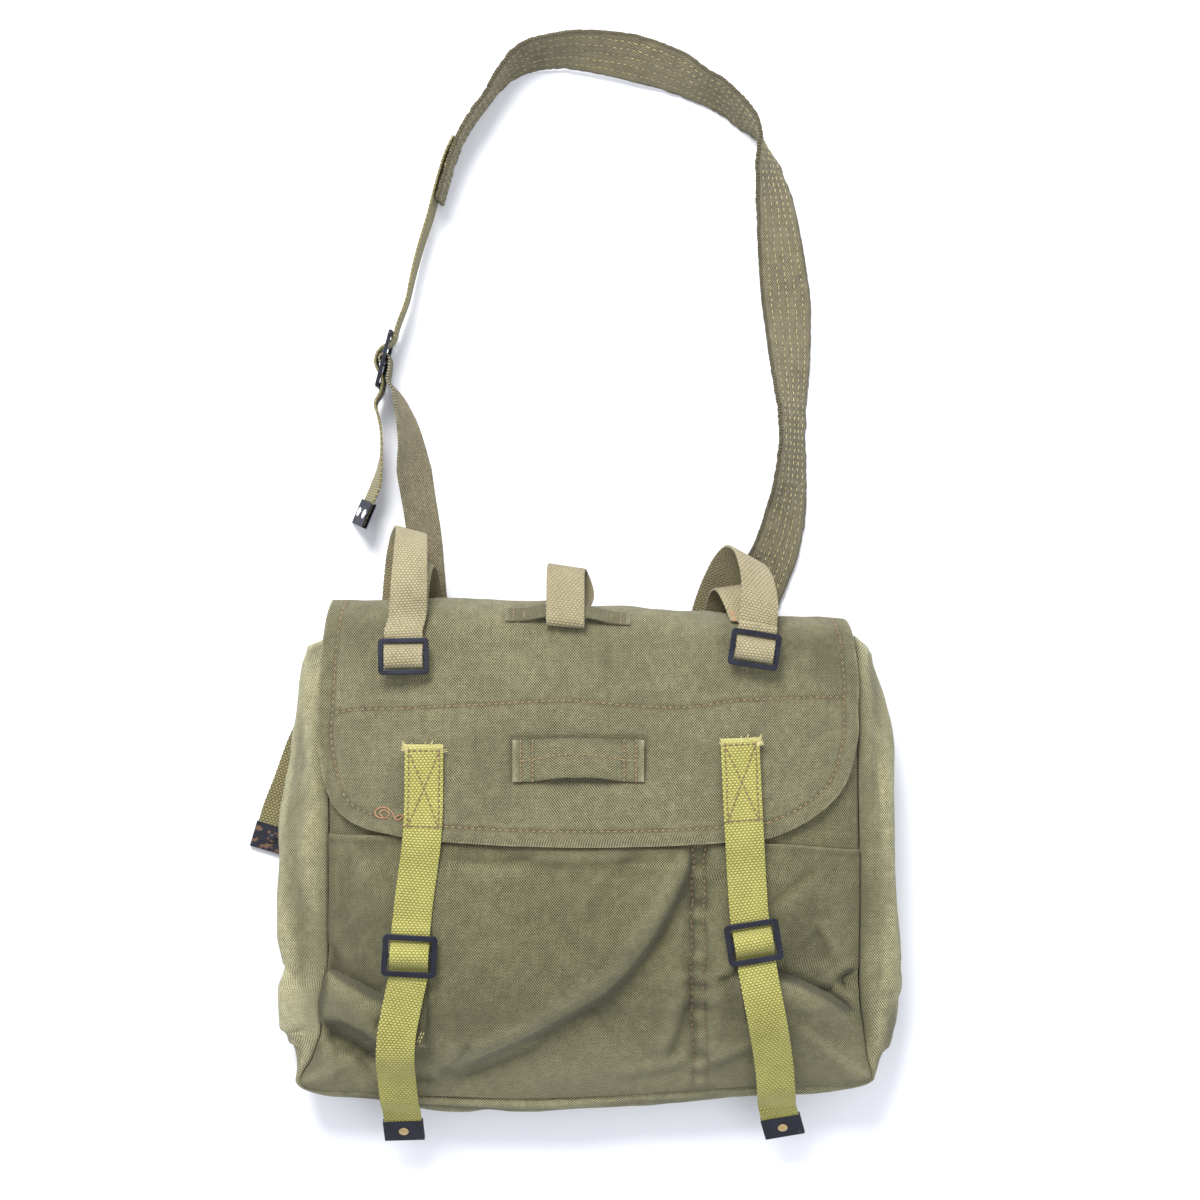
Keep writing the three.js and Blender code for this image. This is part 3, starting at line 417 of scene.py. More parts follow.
# Front seam from the left mouth round the bottom to the right mouth
SEAM = table("x y bulge puff", [
    [-163, 147, 20, 0],
    [-165, 105, 24, 0],
    [-165.5, 62, 28, 1],
    [-165, 23, 34.5, 4],
    [-165.5, -35, 35, 7],
    [-167, -65, 32.5, 6],
    [-171, -85, 29, 6],
    [-172, -108, 27, 5],
    [-176.5, -121, 19, 3],
    [-184.5, -137.5, 4, 1],
    [-146, -142.5, 10.5, 0],
    [-96, -145.5, 12.5, 0],
    [-52, -147, 14, 0],
    [0, -145.5, 13, 0],
    [69, -141, 12, 0],
    [134, -137, 9, 0],
    [176.5, -135, 3.5, 1],
    [174, -121, 18, 2],
    [171.5, -104, 26, 4],
    [169, -84, 28, 5],
    [168, -58, 27.5, 6],
    [168, -28, 28, 6],
    [168, 13, 26.5, 4],
    [167.5, 55, 25, 1],
    [167, 97, 22, 0],
    [165, 148, 15, 0],
])
SEAM_LAST = len(SEAM["x"]) - 1
LEFT_CORNER = 9
RIGHT_CORNER = 16
SIDE_ROWS = 9
POCKET_ROW = 6
MOUTH_HALF = 160

# Height of the front seam and of the puffed middle above it
FRONT_HEIGHT = table("y edge rise", [
    [-150, 40, 22],
    [-100, 48, 29],
    [-40, 57, 31],
    [20, 60, 27],
    [80, 58, 21],
    [150, 54, 17],
])

print("seam of", SEAM_LAST + 1, "rows")

# %% Folds of the front
# Each row is x and y of the start, middle and end, then step, dent, narrow and reach.
# The last rows are creases too fine for the part's own solids.
FOLDS = [
    [66, 20, 33, -48, -8, -88, -7, 1, 6, 26],
    [12, -72, -32, -100, -108, -136, -6.5, 2, 6, 24],
    [66, 22, 62, -50, 68, -140, 0, 3.5, 7, 10],
    [60, -76, 55, -100, 45, -123, -2, 1.6, 6, 16],
    [86, -62, 122, -68, 170, -97, -6, 3, 6, 22],
    [-176, -64, -150, -73, -128, -86, -7, 3, 6, 24],
    [-176, -103, -155, -100, -126, -124, 5, 2, 6, 18],
    [34, -42, 8, -62, -8, -88, 0, 2.5, 8, 12],
    [-168, -30, -163, -46, -156, -62, 2.5, 1, 3, 9],
    [173, -63, 157, -67, 162, -80, -4, 3, 2.6, 9],
    [128, -66, 148, -78, 154, -62, -2, 1.5, 3, 8],
    [76, -66, 88, -62, 98, -54, 2.4, 1.2, 3, 8],
    [74, -128, 90, -118, 112, -112, 2, 1, 4, 10],
    [108, -22, 124, -10, 146, 6, -1.6, 1.2, 5, 12],
    [138, -34, 146, -44, 150, -58, 1.6, 1.2, 4, 10],
    [-160, -86, -146, -92, -138, -106, 2.2, 1, 3, 8],
    [-98, -128, -84, -118, -78, -106, 1.8, 1.6, 4, 10],
    [-60, 14, -10, 4, 40, 12, 1.4, 0.8, 8, 16],
    [26, 16, 8, -6, -6, -34, -1.6, 0.8, 6, 16],
    [40, -20, 22, -52, -4, -76, -1.4, 1, 4, 10],
    [-30, -108, -60, -122, -92, -134, -1.6, 1.2, 3, 9],
    [10, -132, 44, -128, 66, -118, 1.6, 0.8, 4, 10],
    [64, 14, 34, -46, -4, -84, -3.6, 1.6, 4, 15],
    [8, -74, -34, -101, -100, -132, -2.4, 1.2, 3.6, 14],
    [58, -78, 54, -100, 46, -120, -1, 0.8, 3, 9],
    [84, -60, 122, -67, 164, -92, -5.6, 3.4, 2.4, 15],
    [-178, -58, -150, -72, -118, -86, -7, 4, 2.4, 16],
    [-178, -102, -152, -97, -122, -122, 6.4, 5, 3.2, 13],
    [-166, -112, -150, -118, -136, -132, 2.4, 1.6, 3, 9],
    [-150, 14, -152, -10, -160, -40, 1.6, 1, 5, 14],
    [-172, -104, -153, -110, -132, -124, 0, 8, 6, 10],
    [140, -74, 154, -80, 166, -92, 0, 3, 3.4, 8],
    [-126, -126, -112, -132, -98, -134, 0, 3, 4, 8],
    [-56, 12, -8, 6, 44, 14, 0.8, 1, 3, 9],
    [-90, 10, -60, 6, -30, 12, -1.6, 1, 3, 10],
]
FOLD_POINTS = 11
EDGE_EASE = 6
print(len(FOLDS), "folds on the front")


# %% [markdown]
# A few helpers turn the tables into shapes. A smooth curve through the rows of a table passes through
# every measured place, and needs no handles set by hand. Seeded ripples give the cloth its slack, and
# they are the same on every run.


# %% Small helpers
def spread(low, high, count):
    return np.linspace(low, high, count)


def bell(distance, width):
    """One at no distance, and falling smoothly to nothing some widths away."""
    return np.exp(-((distance / width) ** 2))


def smoothstep(value, low, high):
    t = np.clip((value - low) / (high - low), 0, 1)
    return t * t * (3 - 2 * t)


def unit(vectors):
    return vectors / np.maximum(np.linalg.norm(vectors, axis=-1, keepdims=True), 1e-9)


def running_length(points):
    """Distance from the first point along the line of points, for each of them."""
    steps = np.linalg.norm(np.diff(points, axis=0), axis=-1)
    return np.concatenate([np.zeros_like(steps[:1]), np.cumsum(steps, axis=0)])


def bezier(bends, t):
    weights = ((1 - t) ** 3, 3 * t * (1 - t) ** 2, 3 * t * t * (1 - t), t**3)
    return sum(w * b for w, b in zip(weights, bends))


print("a bell is", round(float(bell(1, 1)), 2), "high one width away")


# %% Smooth curves
def smooth_curve(points, where):
    """Places on a smooth curve through the points; where counts the points from 0."""
    points = np.asarray(points, float)
    where = np.atleast_1d(np.asarray(where, float))
    longer = np.vstack([2 * points[0] - points[1], points, 2 * points[-1] - points[-2]])
    k = np.clip(np.floor(where).astype(int), 0, len(points) - 2)
    t = (where - k)[:, None]
    p0, p1, p2, p3 = (longer[k + i] for i in range(4))
    d0, d1, d2 = (
        np.maximum(np.sqrt(np.linalg.norm(b - a, axis=1)), 1e-3)[:, None]
        for a, b in ((p0, p1), (p1, p2), (p2, p3))
    )
    leave = ((p1 - p0) / d0 - (p2 - p0) / (d0 + d1) + (p2 - p1) / d1) * d1
    arrive = ((p2 - p1) / d1 - (p3 - p1) / (d1 + d2) + (p3 - p2) / d2) * d1
    near = (2 * t**3 - 3 * t**2 + 1) * p1 + (t**3 - 2 * t**2 + t) * leave
    return near + (3 * t**2 - 2 * t**3) * p2 + (t**3 - t**2) * arrive


def column_at(rows, key, column, value):
    """Smooth value of a table's column where its key column has the given value."""
    keys, values = rows[key], rows[column]
    if keys[0] > keys[-1]:
        keys, values = keys[::-1], values[::-1]
    slopes = np.empty(len(keys))
    slopes[1:-1] = (values[2:] - values[:-2]) / (keys[2:] - keys[:-2])
    slopes[0] = (values[1] - values[0]) / (keys[1] - keys[0])
    slopes[-1] = (values[-1] - values[-2]) / (keys[-1] - keys[-2])
    k = np.clip(np.searchsorted(keys, value) - 1, 0, len(keys) - 2)
    span = keys[k + 1] - keys[k]
    t = np.clip((value - keys[k]) / span, 0, 1)
    near = (2 * t**3 - 3 * t**2 + 1) * values[k] + (t**3 - 2 * t**2 + t) * span * slopes[k]
    return near + (3 * t**2 - 2 * t**3) * values[k + 1] + (t**3 - t**2) * span * slopes[k + 1]


print("seam is", round(float(column_at(FRONT_HEIGHT, "y", "edge", 0.0)), 1), "mm high half way up")


# %% Distances and ripples
def near_line(line, x, y):
    """Distance of places from a line of points, the side they lie on and how far along it they are."""
    best = np.full(np.shape(x), np.inf)
    side = np.ones(np.shape(x))
    along = np.zeros(np.shape(x))
    for i, (a, b) in enumerate(zip(line[:-1], line[1:])):
        dx, dy = b - a
        t = np.clip(((x - a[0]) * dx + (y - a[1]) * dy) / (dx * dx + dy * dy), 0, 1)
        off_x = x - a[0] - t * dx
        off_y = y - a[1] - t * dy
        distance = np.hypot(off_x, off_y)
        nearer = distance < best
        best = np.where(nearer, distance, best)
        side = np.where(nearer, np.sign(dx * off_y - dy * off_x), side)
        along = np.where(nearer, (i + t) / (len(line) - 1), along)
    return best, side, along


def ripple(x, y, size, seed):
    """Smooth random hills of about the given size, from -1 to 1."""
    lattice = np.random.default_rng(seed).uniform(-1, 1, (64, 64))
    gx, gy = np.asarray(x) / size + 32, np.asarray(y) / size + 32
    i, j = np.floor(gx).astype(int), np.floor(gy).astype(int)
    u, v = smoothstep(gx - i, 0, 1), smoothstep(gy - j, 0, 1)
    corner = [lattice[(i + a) % 64, (j + b) % 64] for a, b in ((0, 0), (1, 0), (0, 1), (1, 1))]
    return (corner[0] * (1 - u) + corner[1] * u) * (1 - v) + (corner[2] * (1 - u) + corner[3] * u) * v


print("a ripple of size 10 is", round(float(ripple(0.0, 0.0, 10, 1)), 2), "at the origin")

# %% [markdown]
# The front of an empty bag is a low cushion with creases where it was folded. Its height is one function
# of x and y: a crown that rises from the seam, then the folds of the table, then slack. Every layer in
# front asks this function, so the layers never cross.

# %% The seam
SEAM_XY = np.column_stack([SEAM["x"], SEAM["y"]])
SEAM_LINE = smooth_curve(SEAM_XY, spread(0, SEAM_LAST, SEAM_LAST * 4 + 1))


def seam_point(row):
    return smooth_curve(SEAM_XY, np.clip(row, 0, SEAM_LAST))


def inside_seam(x, y):
    distance, side, _ = near_line(SEAM_LINE, x, y)
    return np.where(side > 0, distance, 0)


def mouth_y(x):
    """Where the seam's two ends put the bag's mouth, at a place across."""
    return SEAM["y"][0] + (SEAM["y"][-1] - SEAM["y"][0]) * np.clip((x + MOUTH_HALF) / (2 * MOUTH_HALF), 0, 1)


print("seam is", round(float(running_length(SEAM_LINE)[-1])), "mm long")


# %% Folds
def fold_line(row):
    start, middle, end = np.array(row[:6], float).reshape(3, 2)
    bend = 2 * middle - (start + end) / 2
    t = spread(0, 1, FOLD_POINTS)[:, None]
    return (1 - t) ** 2 * start + 2 * t * (1 - t) * bend + t * t * end


FOLD_LINES = [fold_line(row) for row in FOLDS]


def fold_height(x, y):
    """Each fold is a step from one side of its line to the other, with a dent along the line."""
    height = np.zeros(np.shape(x))
    for row, line in zip(FOLDS, FOLD_LINES):
        step, dent, narrow, reach = row[6:]
        distance, side, along = near_line(line, x, y)
        ends = np.minimum(1, np.minimum(5 * along, 5 * (1 - along)))
        step = step * np.tanh(side * distance / narrow) * np.exp(-distance / reach)
        height += ends * (step - dent * bell(distance, narrow))
    return height


print(len(FOLD_LINES), "folds of", FOLD_POINTS, "points each")


# %% Height of the front
DOUBLE_SEAM_X = 66.6
DOUBLE_SEAM_HALF = 4.3
SLOPE_STEP = 1.5


def edge_height(y):
    return column_at(FRONT_HEIGHT, "y", "edge", y)


def seam_middle(y):
    """Where the pocket's double seam runs, a little unevenly, at a place up the bag."""
    return DOUBLE_SEAM_X + 2.2 * smoothstep(-y, 60, 140) + 0.9 * ripple(0 * y, y, 15, 17)


def below_mouth(y):
    """One on the pocket and nothing above its mouth."""
    return 1 - smoothstep(y, 14, 22)


def pocket_rows(x, y, width):
    """High on the two rows of the pocket's seam, and nothing above the pocket's mouth."""
    aside = x - seam_middle(y)
    rows = bell(aside + DOUBLE_SEAM_HALF, width) + bell(aside - DOUBLE_SEAM_HALF, width)
    return rows * below_mouth(y)


def pocket_pucker(x, y):
    """Small gathers along the pocket's double seam."""
    near = bell(x - seam_middle(y), 9) * below_mouth(y)
    return ripple(x * 0.4, y, 6.5, 14) * 2.6 * near - 0.9 * pocket_rows(x, y, 2.2)


def front_height(x, y):
    """Height of the front panel's outer face."""
    x, y = np.asarray(x, float), np.asarray(y, float)
    inside = inside_seam(x, y)
    crown = column_at(FRONT_HEIGHT, "y", "rise", y) * (1 - np.exp(-inside / CROWN_REACH))
    slack = ripple(x, y, 34, 3) * 1.1 + ripple(x, y, 13, 4) * 0.4 + pocket_pucker(x, y)
    return edge_height(y) + crown + (fold_height(x, y) + slack) * (1 - np.exp(-inside / EDGE_EASE))


def valley(x, y, reach):
    """How far the front lies below its surroundings: more than nothing in a fold, less on a ridge."""
    around = [front_height(x + dx, y + dy) for dx, dy in ((reach, 0), (-reach, 0), (0, reach), (0, -reach))]
    return sum(around) / 4 - front_height(x, y)


def front_normal(x, y):
    d = SLOPE_STEP
    slope_x = (front_height(x + d, y) - front_height(x - d, y)) / (2 * d)
    slope_y = (front_height(x, y + d) - front_height(x, y - d)) / (2 * d)
    return unit(np.stack([-slope_x, -slope_y, np.ones_like(slope_x)], axis=-1))


print("front is", round(float(front_height(0.0, -40.0)), 1), "mm high in the middle")


# %% Places on a panel
def panel_place(across, up):
    """Place on a panel that fills the seam: across from left to right, up from the bottom to the mouth."""
    shape_in = np.shape(across)
    a, u = np.ravel(across), np.ravel(up)
    left = seam_point(LEFT_CORNER - u * SIDE_ROWS)
    right = seam_point(RIGHT_CORNER + u * SIDE_ROWS)
    bottom = seam_point(LEFT_CORNER + (RIGHT_CORNER - LEFT_CORNER) * a)
    corners = seam_point(np.array([LEFT_CORNER, RIGHT_CORNER], float))
    straight = corners[0] + (corners[1] - corners[0]) * a[:, None]
    place = left + (right - left) * a[:, None] + (bottom - straight) * (1 - u)[:, None]
    place[:, 1] += POCKET_BOW * 16 * a * (1 - a) * u * (1 - u)
    return place[:, 0].reshape(shape_in), place[:, 1].reshape(shape_in)


x, y = panel_place(0.5, 0.5)
print("middle of a panel is at", round(float(x), 1), round(float(y), 1), "mm")

# %% [markdown]
# ## Cloth from a grid
# Each panel and strap is a sheet. A flat bmesh grid is laid on the sheet's shape point by point, so the
# grid lines run like threads. Its UV map holds the distances along those threads. A Solidify modifier
# gives the thickness.


# %% Sheets of cloth
class Cloth:
    """A sheet of cloth: its points, a row for each step along it, and the distances across and along it."""

    def __init__(self, points, thickness, middle=False):
        self.points = points
        self.thickness = thickness
        self.middle = middle
        across = running_length(points.swapaxes(0, 1)).T
        centre = points.shape[1] // 2
        self.across = across - across[:, centre:centre + 1]
        self.along = running_length(points[:, centre])
        self.normals = unit(np.cross(np.gradient(points, axis=1), np.gradient(points, axis=0)))
        self.width = float(np.mean(across[:, -1]))
        self.length = float(self.along[-1])

    def from_sides(self):
        """Distance of every point from the nearer of the two long edges."""
        return np.minimum(self.across - self.across[:, :1], self.across[:, -1:] - self.across)

    def at(self, across, along, side=1, lift=0.0):
        """Place and normal on the cloth's face at distances across and along it, in millimetres."""
        places, normals = [], []
        reach = self.thickness / 2 if self.middle else (0 if side > 0 else self.thickness)
        for a, b in zip(np.ravel(across), np.ravel(along)):
            j = np.interp(b, self.along, np.arange(len(self.along)))
            row = int(min(j, len(self.along) - 2))
            i = np.interp(a, self.across[row], np.arange(self.across.shape[1]))
            column = int(min(i, self.across.shape[1] - 2))
            v, u = j - row, i - column
            weights = ((0, 0, (1 - u) * (1 - v)), (1, 0, u * (1 - v)), (0, 1, (1 - u) * v), (1, 1, u * v))
            place = sum(w * self.points[row + q, column + p] for p, q, w in weights)
            normal = side * self.normals[row, column]
            places.append(place + normal * (reach + lift))
            normals.append(normal)
        return np.array(places), np.array(normals)

    def area(self):
        p = self.points
        first = np.cross(p[1:, 1:] - p[:-1, :-1], p[:-1, 1:] - p[1:, :-1])
        return float(np.linalg.norm(first, axis=2).sum() / 2)


print("a sheet knows its points, threads and normals")

# %% Pieces from sheets
RIM_ANGLE = math.radians(60)


def link(name, mesh, finish, nodes=()):
    """Adds a smooth piece to the scene, standing for the nodes if there are any."""
    piece = bpy.data.objects.new(name, mesh)
    bpy.context.scene.collection.objects.link(piece)
    mesh.materials.append(finish)
    mesh.polygons.foreach_set("use_smooth", np.ones(len(mesh.polygons), bool))
    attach(piece, "root")
    if nodes:
        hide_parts(*nodes)
    return piece


def sew(name, cloth, finish, wear_and_painted_light=0.0, painted_shade_and_tone=0.0, closed=False, round_rim=0.0):
    """Makes the sheet's piece, which stands for the node of the same name."""
    rows, columns = cloth.points.shape[:2]
    grid = bmesh.new()
    grid.loops.layers.uv.new("weave")
    bmesh.ops.create_grid(grid, x_segments=columns - 1, y_segments=rows - 1, size=1, calc_uvs=True)
    mesh = mesh_from(grid, name)
    flat = np.empty(len(mesh.vertices) * 3)
    mesh.vertices.foreach_get("co", flat)
    flat = flat.reshape(-1, 3)
    column = np.rint((flat[:, 0] + 1) / 2 * (columns - 1)).astype(int)
    row = np.rint((flat[:, 1] + 1) / 2 * (rows - 1)).astype(int)
    mesh.vertices.foreach_set("co", (cloth.points[row, column] * MM).ravel())
    corner = np.empty(len(mesh.loops), int)
    mesh.loops.foreach_get("vertex_index", corner)
    threads = np.column_stack([cloth.across[row, column], cloth.along[row]]) * MM
    mesh.uv_layers["weave"].data.foreach_set("uv", threads[corner].ravel())
    for key, values in (("wear_and_painted_light", wear_and_painted_light), ("painted_shade_and_tone", painted_shade_and_tone)):
        shown = np.broadcast_to(values, (rows, columns))[row, column]
        mesh.attributes.new(key, "FLOAT", "POINT").data.foreach_set("value", shown)
    if closed:
        ring = bmesh.new()
        ring.from_mesh(mesh)
        bmesh.ops.remove_doubles(ring, verts=ring.verts, dist=1e-6)
        ring.to_mesh(mesh)
        ring.free()
    piece = link(name, mesh, finish, [name])
    wall = piece.modifiers.new("thickness", "SOLIDIFY")
    wall.thickness = cloth.thickness * MM
    wall.offset = 0 if cloth.middle else -1
    wall.use_even_offset = False
    if round_rim:
        rim = piece.modifiers.new("rim", "BEVEL")
        rim.width = round_rim * MM
        rim.segments = 2
        rim.limit_method = "ANGLE"
        rim.angle_limit = RIM_ANGLE
    print(name, columns, "by", rows, "points,", round(cloth.width), "by", round(cloth.length), "mm")
    return piece


def declare(cloth):
    flat = (round(cloth.width, 2) * MM, round(cloth.length, 2) * MM)
    area = min(cloth.area() * MM * MM, flat[0] * flat[1])


print("sheets can be sewn into pieces")

# %% [markdown]
# ## Body
# The back lies flat on the floor and curls up to its seam. The gusset bulges out between the back's seam
# and the front's seam, with a pinch low on its left side where the cloth has buckled. The front and the
# pocket share one height, so the pocket always lies just in front of the panel behind it.

# %% Back panel
BACK_COLUMNS = 90
BACK_LINES = 80


def back_height(x, y):
    inside = inside_seam(x / BACK_SHARE, y / BACK_SHARE) * BACK_SHARE
    from_mouth = np.maximum(BACK_SHARE * mouth_y(x) - y, 0)
    curl = np.clip(1 - np.minimum(inside, from_mouth) / BACK_CURL, 0, 1)
    crease = np.clip(ripple(x, y, 30, 8), 0, 1) * 0.7 + np.clip(ripple(x, y, 11, 9), 0, 1) * 0.25
    return BACK_LIFT * curl**2 + crease * (1 - curl)


across, up = np.meshgrid(spread(1, 0, BACK_COLUMNS), spread(0, 1, BACK_LINES))
x, y = panel_place(across, up)
x, y = x * BACK_SHARE, y * BACK_SHARE
back_cloth = Cloth(np.stack([x, y, back_height(x, y)], axis=-1), CANVAS)
back_panel = sew("back_panel", back_cloth, FRONT_CANVAS)

# %% [markdown]
# The gusset is one long strip. Across it, a cubic curve runs from the back's seam to the front's seam,
# and its two handles push it out by the bulge in the table. Ridges, a pinch and slack are then laid on
# along the normals, because the sides of an empty bag never hang smooth.

# %% Gusset between its two seams
GUSSET_ROWS = 560
GUSSET_COLUMNS = 40
LEFT_POINT = 8.95
RIGHT_POINT = 16.05
POINT_REACH = 0.13
# A cubic curve between two seams comes out by three quarters of its handles
HANDLE_SHARE = 0.75

lines = spread(0, SEAM_LAST, GUSSET_ROWS)
row = lines[:, None]
t = spread(0, 1, GUSSET_COLUMNS)[None, :]
front_xy = seam_point(lines)
tangent = unit(seam_point(lines + 0.05) - seam_point(lines - 0.05))
out = np.column_stack([tangent[:, 1], -tangent[:, 0], np.zeros(GUSSET_ROWS)])
bulge = smooth_curve(np.column_stack([10 * np.arange(SEAM_LAST + 1), SEAM["bulge"]]), lines)[:, 1]
reach = bulge / HANDLE_SHARE
reach = reach + 3 * np.exp(-np.abs(lines - LEFT_POINT) / POINT_REACH)
reach = reach + 2 * np.exp(-np.abs(lines - RIGHT_POINT) / POINT_REACH)
before = np.clip(lines.astype(int), 0, SEAM_LAST - 1)
between = smoothstep(lines - before, 0, 1)
puff = SEAM["puff"][before] * (1 - between) + SEAM["puff"][before + 1] * between
front_edge = np.column_stack([front_xy, edge_height(front_xy[:, 1])]) + out * SEAM_GAP
back_edge = np.column_stack([front_xy * BACK_SHARE, np.full(GUSSET_ROWS, BACK_LIFT)]) + out * SEAM_GAP
lift = np.column_stack([np.zeros((GUSSET_ROWS, 2)), puff * 2])
bends = [back_edge, back_edge + out * reach[:, None], front_edge + out * reach[:, None] + lift, front_edge]
points = bezier([b[:, None] for b in bends], t[:, :, None])
print("gusset bulges out by up to", round(float(bulge.max()), 1), "mm")

# %% Slack of the gusset
PINCH_ROW = 5.25

side = 1 - smoothstep(row, 7.8, 9.3) * (1 - smoothstep(row, 16.4, 18.5))
ridges = np.sin(2 * math.pi * (1.9 * t + 0.3 * np.sin(row * 0.8) + 0.15))
ridges = ridges * (0.3 + 1.4 * side + 0.7 * bell(row - 3.9, 1.3))
pinch = -1.6 * bell(row - PINCH_ROW - 0.5 * (t - 0.6), 0.22) * smoothstep(t, 0.6, 0.88)
swell = 2.2 * bell(row - PINCH_ROW - 0.75, 0.5) * smoothstep(t, 0.6, 0.85)
crease = -1.1 * bell(row - 7.3 + 1.6 * (t - 0.6), 0.2) * smoothstep(t, 0.62, 0.86)
calm = 1 - 0.75 * bell(row - 8.2, 1.2) - 0.75 * bell(row - 17, 1.2)
slack = (ripple(row * 26, t * 90, 22, 11) * 2.4 + ripple(row * 26, t * 90, 8, 12) * 0.6) * calm
ridge_at = 0.78 + 0.14 * np.where(row < 12, (row - 4) / 4, (row - 21.5) / 3.5) ** 2
ridge = -1.3 * bell(t - ridge_at, 0.045) * side
eased = np.minimum(1, 7 * np.minimum(t, 1 - t))
inward = (ridges + pinch + swell + crease + slack + ridge) * eased
points = points - Cloth(points, CANVAS).normals * inward[:, :, None]
outward = np.einsum("rcx,rx->rc", points[:, :, :2] - front_xy[:, None, :], out[:, :2])
slope = 0.35 * bell(row, 0.35) + 0.8 * bell(SEAM_LAST - row, 0.35)
points[:, :, 1] -= slope * np.maximum(outward, 0)
gusset_cloth = Cloth(points[:, ::-1], CANVAS)

# Rubbed pale at the two ends, and painted light on the lower left. Painted shade in the creases and the
# pinch, on the bottom, in a strip by the front seam and along the seam itself, and darker low on the right.
wear_and_painted_light = 0.5 * bell(np.minimum(row, SEAM_LAST - row), 0.06) + 0.28 * bell(row - 6.4, 1.3)
creases = 0.24 * np.clip(-(ridges + slack + 2 * pinch + 2 * crease), 0, 2) * eased
creases = creases + 0.16 * bell(row - 18.3, 1.6)
seam_strip_shade = smoothstep(t, ridge_at - 0.02, ridge_at + 0.06) * side * np.where(row < 12, 0.16, 0.28)
painted_shade_and_tone = np.clip(0.22 * (1 - side) + creases + seam_strip_shade + 0.4 * side * bell(1 - t, 0.05), 0, 0.8)
gusset = sew("gusset", gusset_cloth, SIDE_CANVAS, wear_and_painted_light, painted_shade_and_tone[:, ::-1])

# %% [markdown]
# The pocket is a second layer over the lower two thirds of the front. A cloth simulation would make
# folds, but not where the photo has them, so both layers take the height above and only differ in lift.

# %% Front panel and pocket
PANEL_COLUMNS = 120
PANEL_LINES = 100
POCKET_COLUMNS = 260
POCKET_LINES = 140


def front_points(columns, rows, reach_up, lift, inset):
    across, up = np.meshgrid(spread(0, 1, columns), spread(0, reach_up, rows))
    x, y = panel_place(np.clip(across, inset, 1 - inset), np.maximum(up, inset))
    points = np.stack([x, y, front_height(x, y)], axis=-1)
    return points + front_normal(x, y) * lift


panel_cloth = Cloth(front_points(PANEL_COLUMNS, PANEL_LINES, 1, 0, 0), CANVAS)
front_panel = sew("front_panel", panel_cloth, FRONT_CANVAS)
pocket_points = front_points(POCKET_COLUMNS, POCKET_LINES, POCKET_ROW / SIDE_ROWS, POCKET_LIFT, POCKET_INSET)
pocket_cloth = Cloth(pocket_points, CANVAS)
from_top = (pocket_cloth.length - pocket_cloth.along)[:, None]
x, y = pocket_points[:, :, 0], pocket_points[:, :, 1]
hollow = valley(x, y, 7.0)
crease = valley(x, y, 3.0)
# Rubbed pale along the mouth, painted highlight on the ridges of the folds and painted light on the lower
# part. Painted shade in the hollows and creases, along the two rows of the seam and just under the mouth.
wear_and_painted_light = 0.15 * bell(from_top, 1.6) + np.clip(-0.16 * hollow, 0, 0.16) + 0.22 * (1 - smoothstep(y, -138, -84))
painted_shade_and_tone = np.clip(0.12 * hollow, 0, 0.3) + np.clip(0.5 * crease, 0, 0.25)
painted_shade_and_tone = painted_shade_and_tone + 0.35 * pocket_rows(x, y, 1.3) + 0.3 * bell(from_top - 4, 2)
# Shade just under the flap's lower edge
from_middle = np.abs(x + 4)
under_flap = 22 - 4.5 * (1 - (from_middle / 115) ** 2) - y
painted_shade_and_tone = painted_shade_and_tone + 0.4 * bell(under_flap, 5) * (1 - smoothstep(from_middle, 105, 130))
front_pocket = sew("front_pocket", pocket_cloth, FRONT_CANVAS, wear_and_painted_light, np.clip(painted_shade_and_tone, 0, 0.8))

# %% [markdown]
# ## Flap
# The flap is sewn to the back's top edge, rolls over the top and lies on the pocket down to a rounded
# lower edge. Its hem is folded under and stitched, so a band along the edge is a little thicker and its
# rim is rubbed pale.

# %% Flap sizes
FOLD_Y = 140
FOLD_BACK_Y = 172
FOLD_FRONT_Y = 187
FOLD_DROP = 16
FOLD_TAPER = 8
FLAP_DIP = 4.5
HEM = 9.5
HEM_RISE = 0.5
FLAP_COLUMNS = 230
FLAP_FRONT_LINES = 100
FLAP_FOLD_LINES = 56
FLAP_SIDES = table("y left right", [
    [140, -170, 166],
    [115, -172, 168.5],
    [92, -173, 168],
    [76, -172, 166],
    [62, -169.5, 162.5],
    [50, -166.5, 156],
    [40, -161.5, 147],
    [32, -153, 135.5],
    [26, -139, 123],
    [22, -119, 111],
])
FLAP_LAST = len(FLAP_SIDES["y"]) - 1
KEEPER = {"left": -49, "right": 32.5, "y": 70, "width": 26, "rise": 3.6}
FLAP_WAVE = [(-160, 99), (-148, 101), (-120, 102), (-60, 105), (-14, 107), (24, 104), (60, 103), (92, 107),
             (158, 109)]
WAVE_LINE = smooth_curve(FLAP_WAVE, spread(0, len(FLAP_WAVE) - 1, 60))


def fold_bends(x):
    """The four bends of the fold over the top at the given places across, as lists of y and z."""
    x = np.asarray(x, float)
    level = np.zeros_like(x)
    front = front_height(x, level + FOLD_Y) + FLAP_LIFT
    slope = (front - front_height(x, level + FOLD_Y - 4) - FLAP_LIFT) / 4
    drop = FOLD_DROP * smoothstep(x, -90, 165)
    ys = [level + FOLD_Y, FOLD_FRONT_Y - drop, FOLD_BACK_Y - drop, BACK_SHARE * mouth_y(x) + SEAM_GAP]
    zs = [front, front + slope * 20 + 5, level + BACK_LIFT + 3, level + BACK_LIFT]
    return ys, zs


def off_fold(x, fold, stand):
    """Place at a distance off the fold's outer face, and the direction of the fold there."""
    bends = [np.array([x, y[0], z[0]]) for y, z in zip(*fold_bends([x]))]
    run = unit(bezier(bends, min(fold + 1e-3, 1)) - bezier(bends, max(fold - 1e-3, 0)))
    return bezier(bends, fold) + np.array([0, -run[2], run[1]]) * stand, run


print("flap fold reaches y", round(float(off_fold(0, 0.5, 0)[0][1]), 1), "mm")

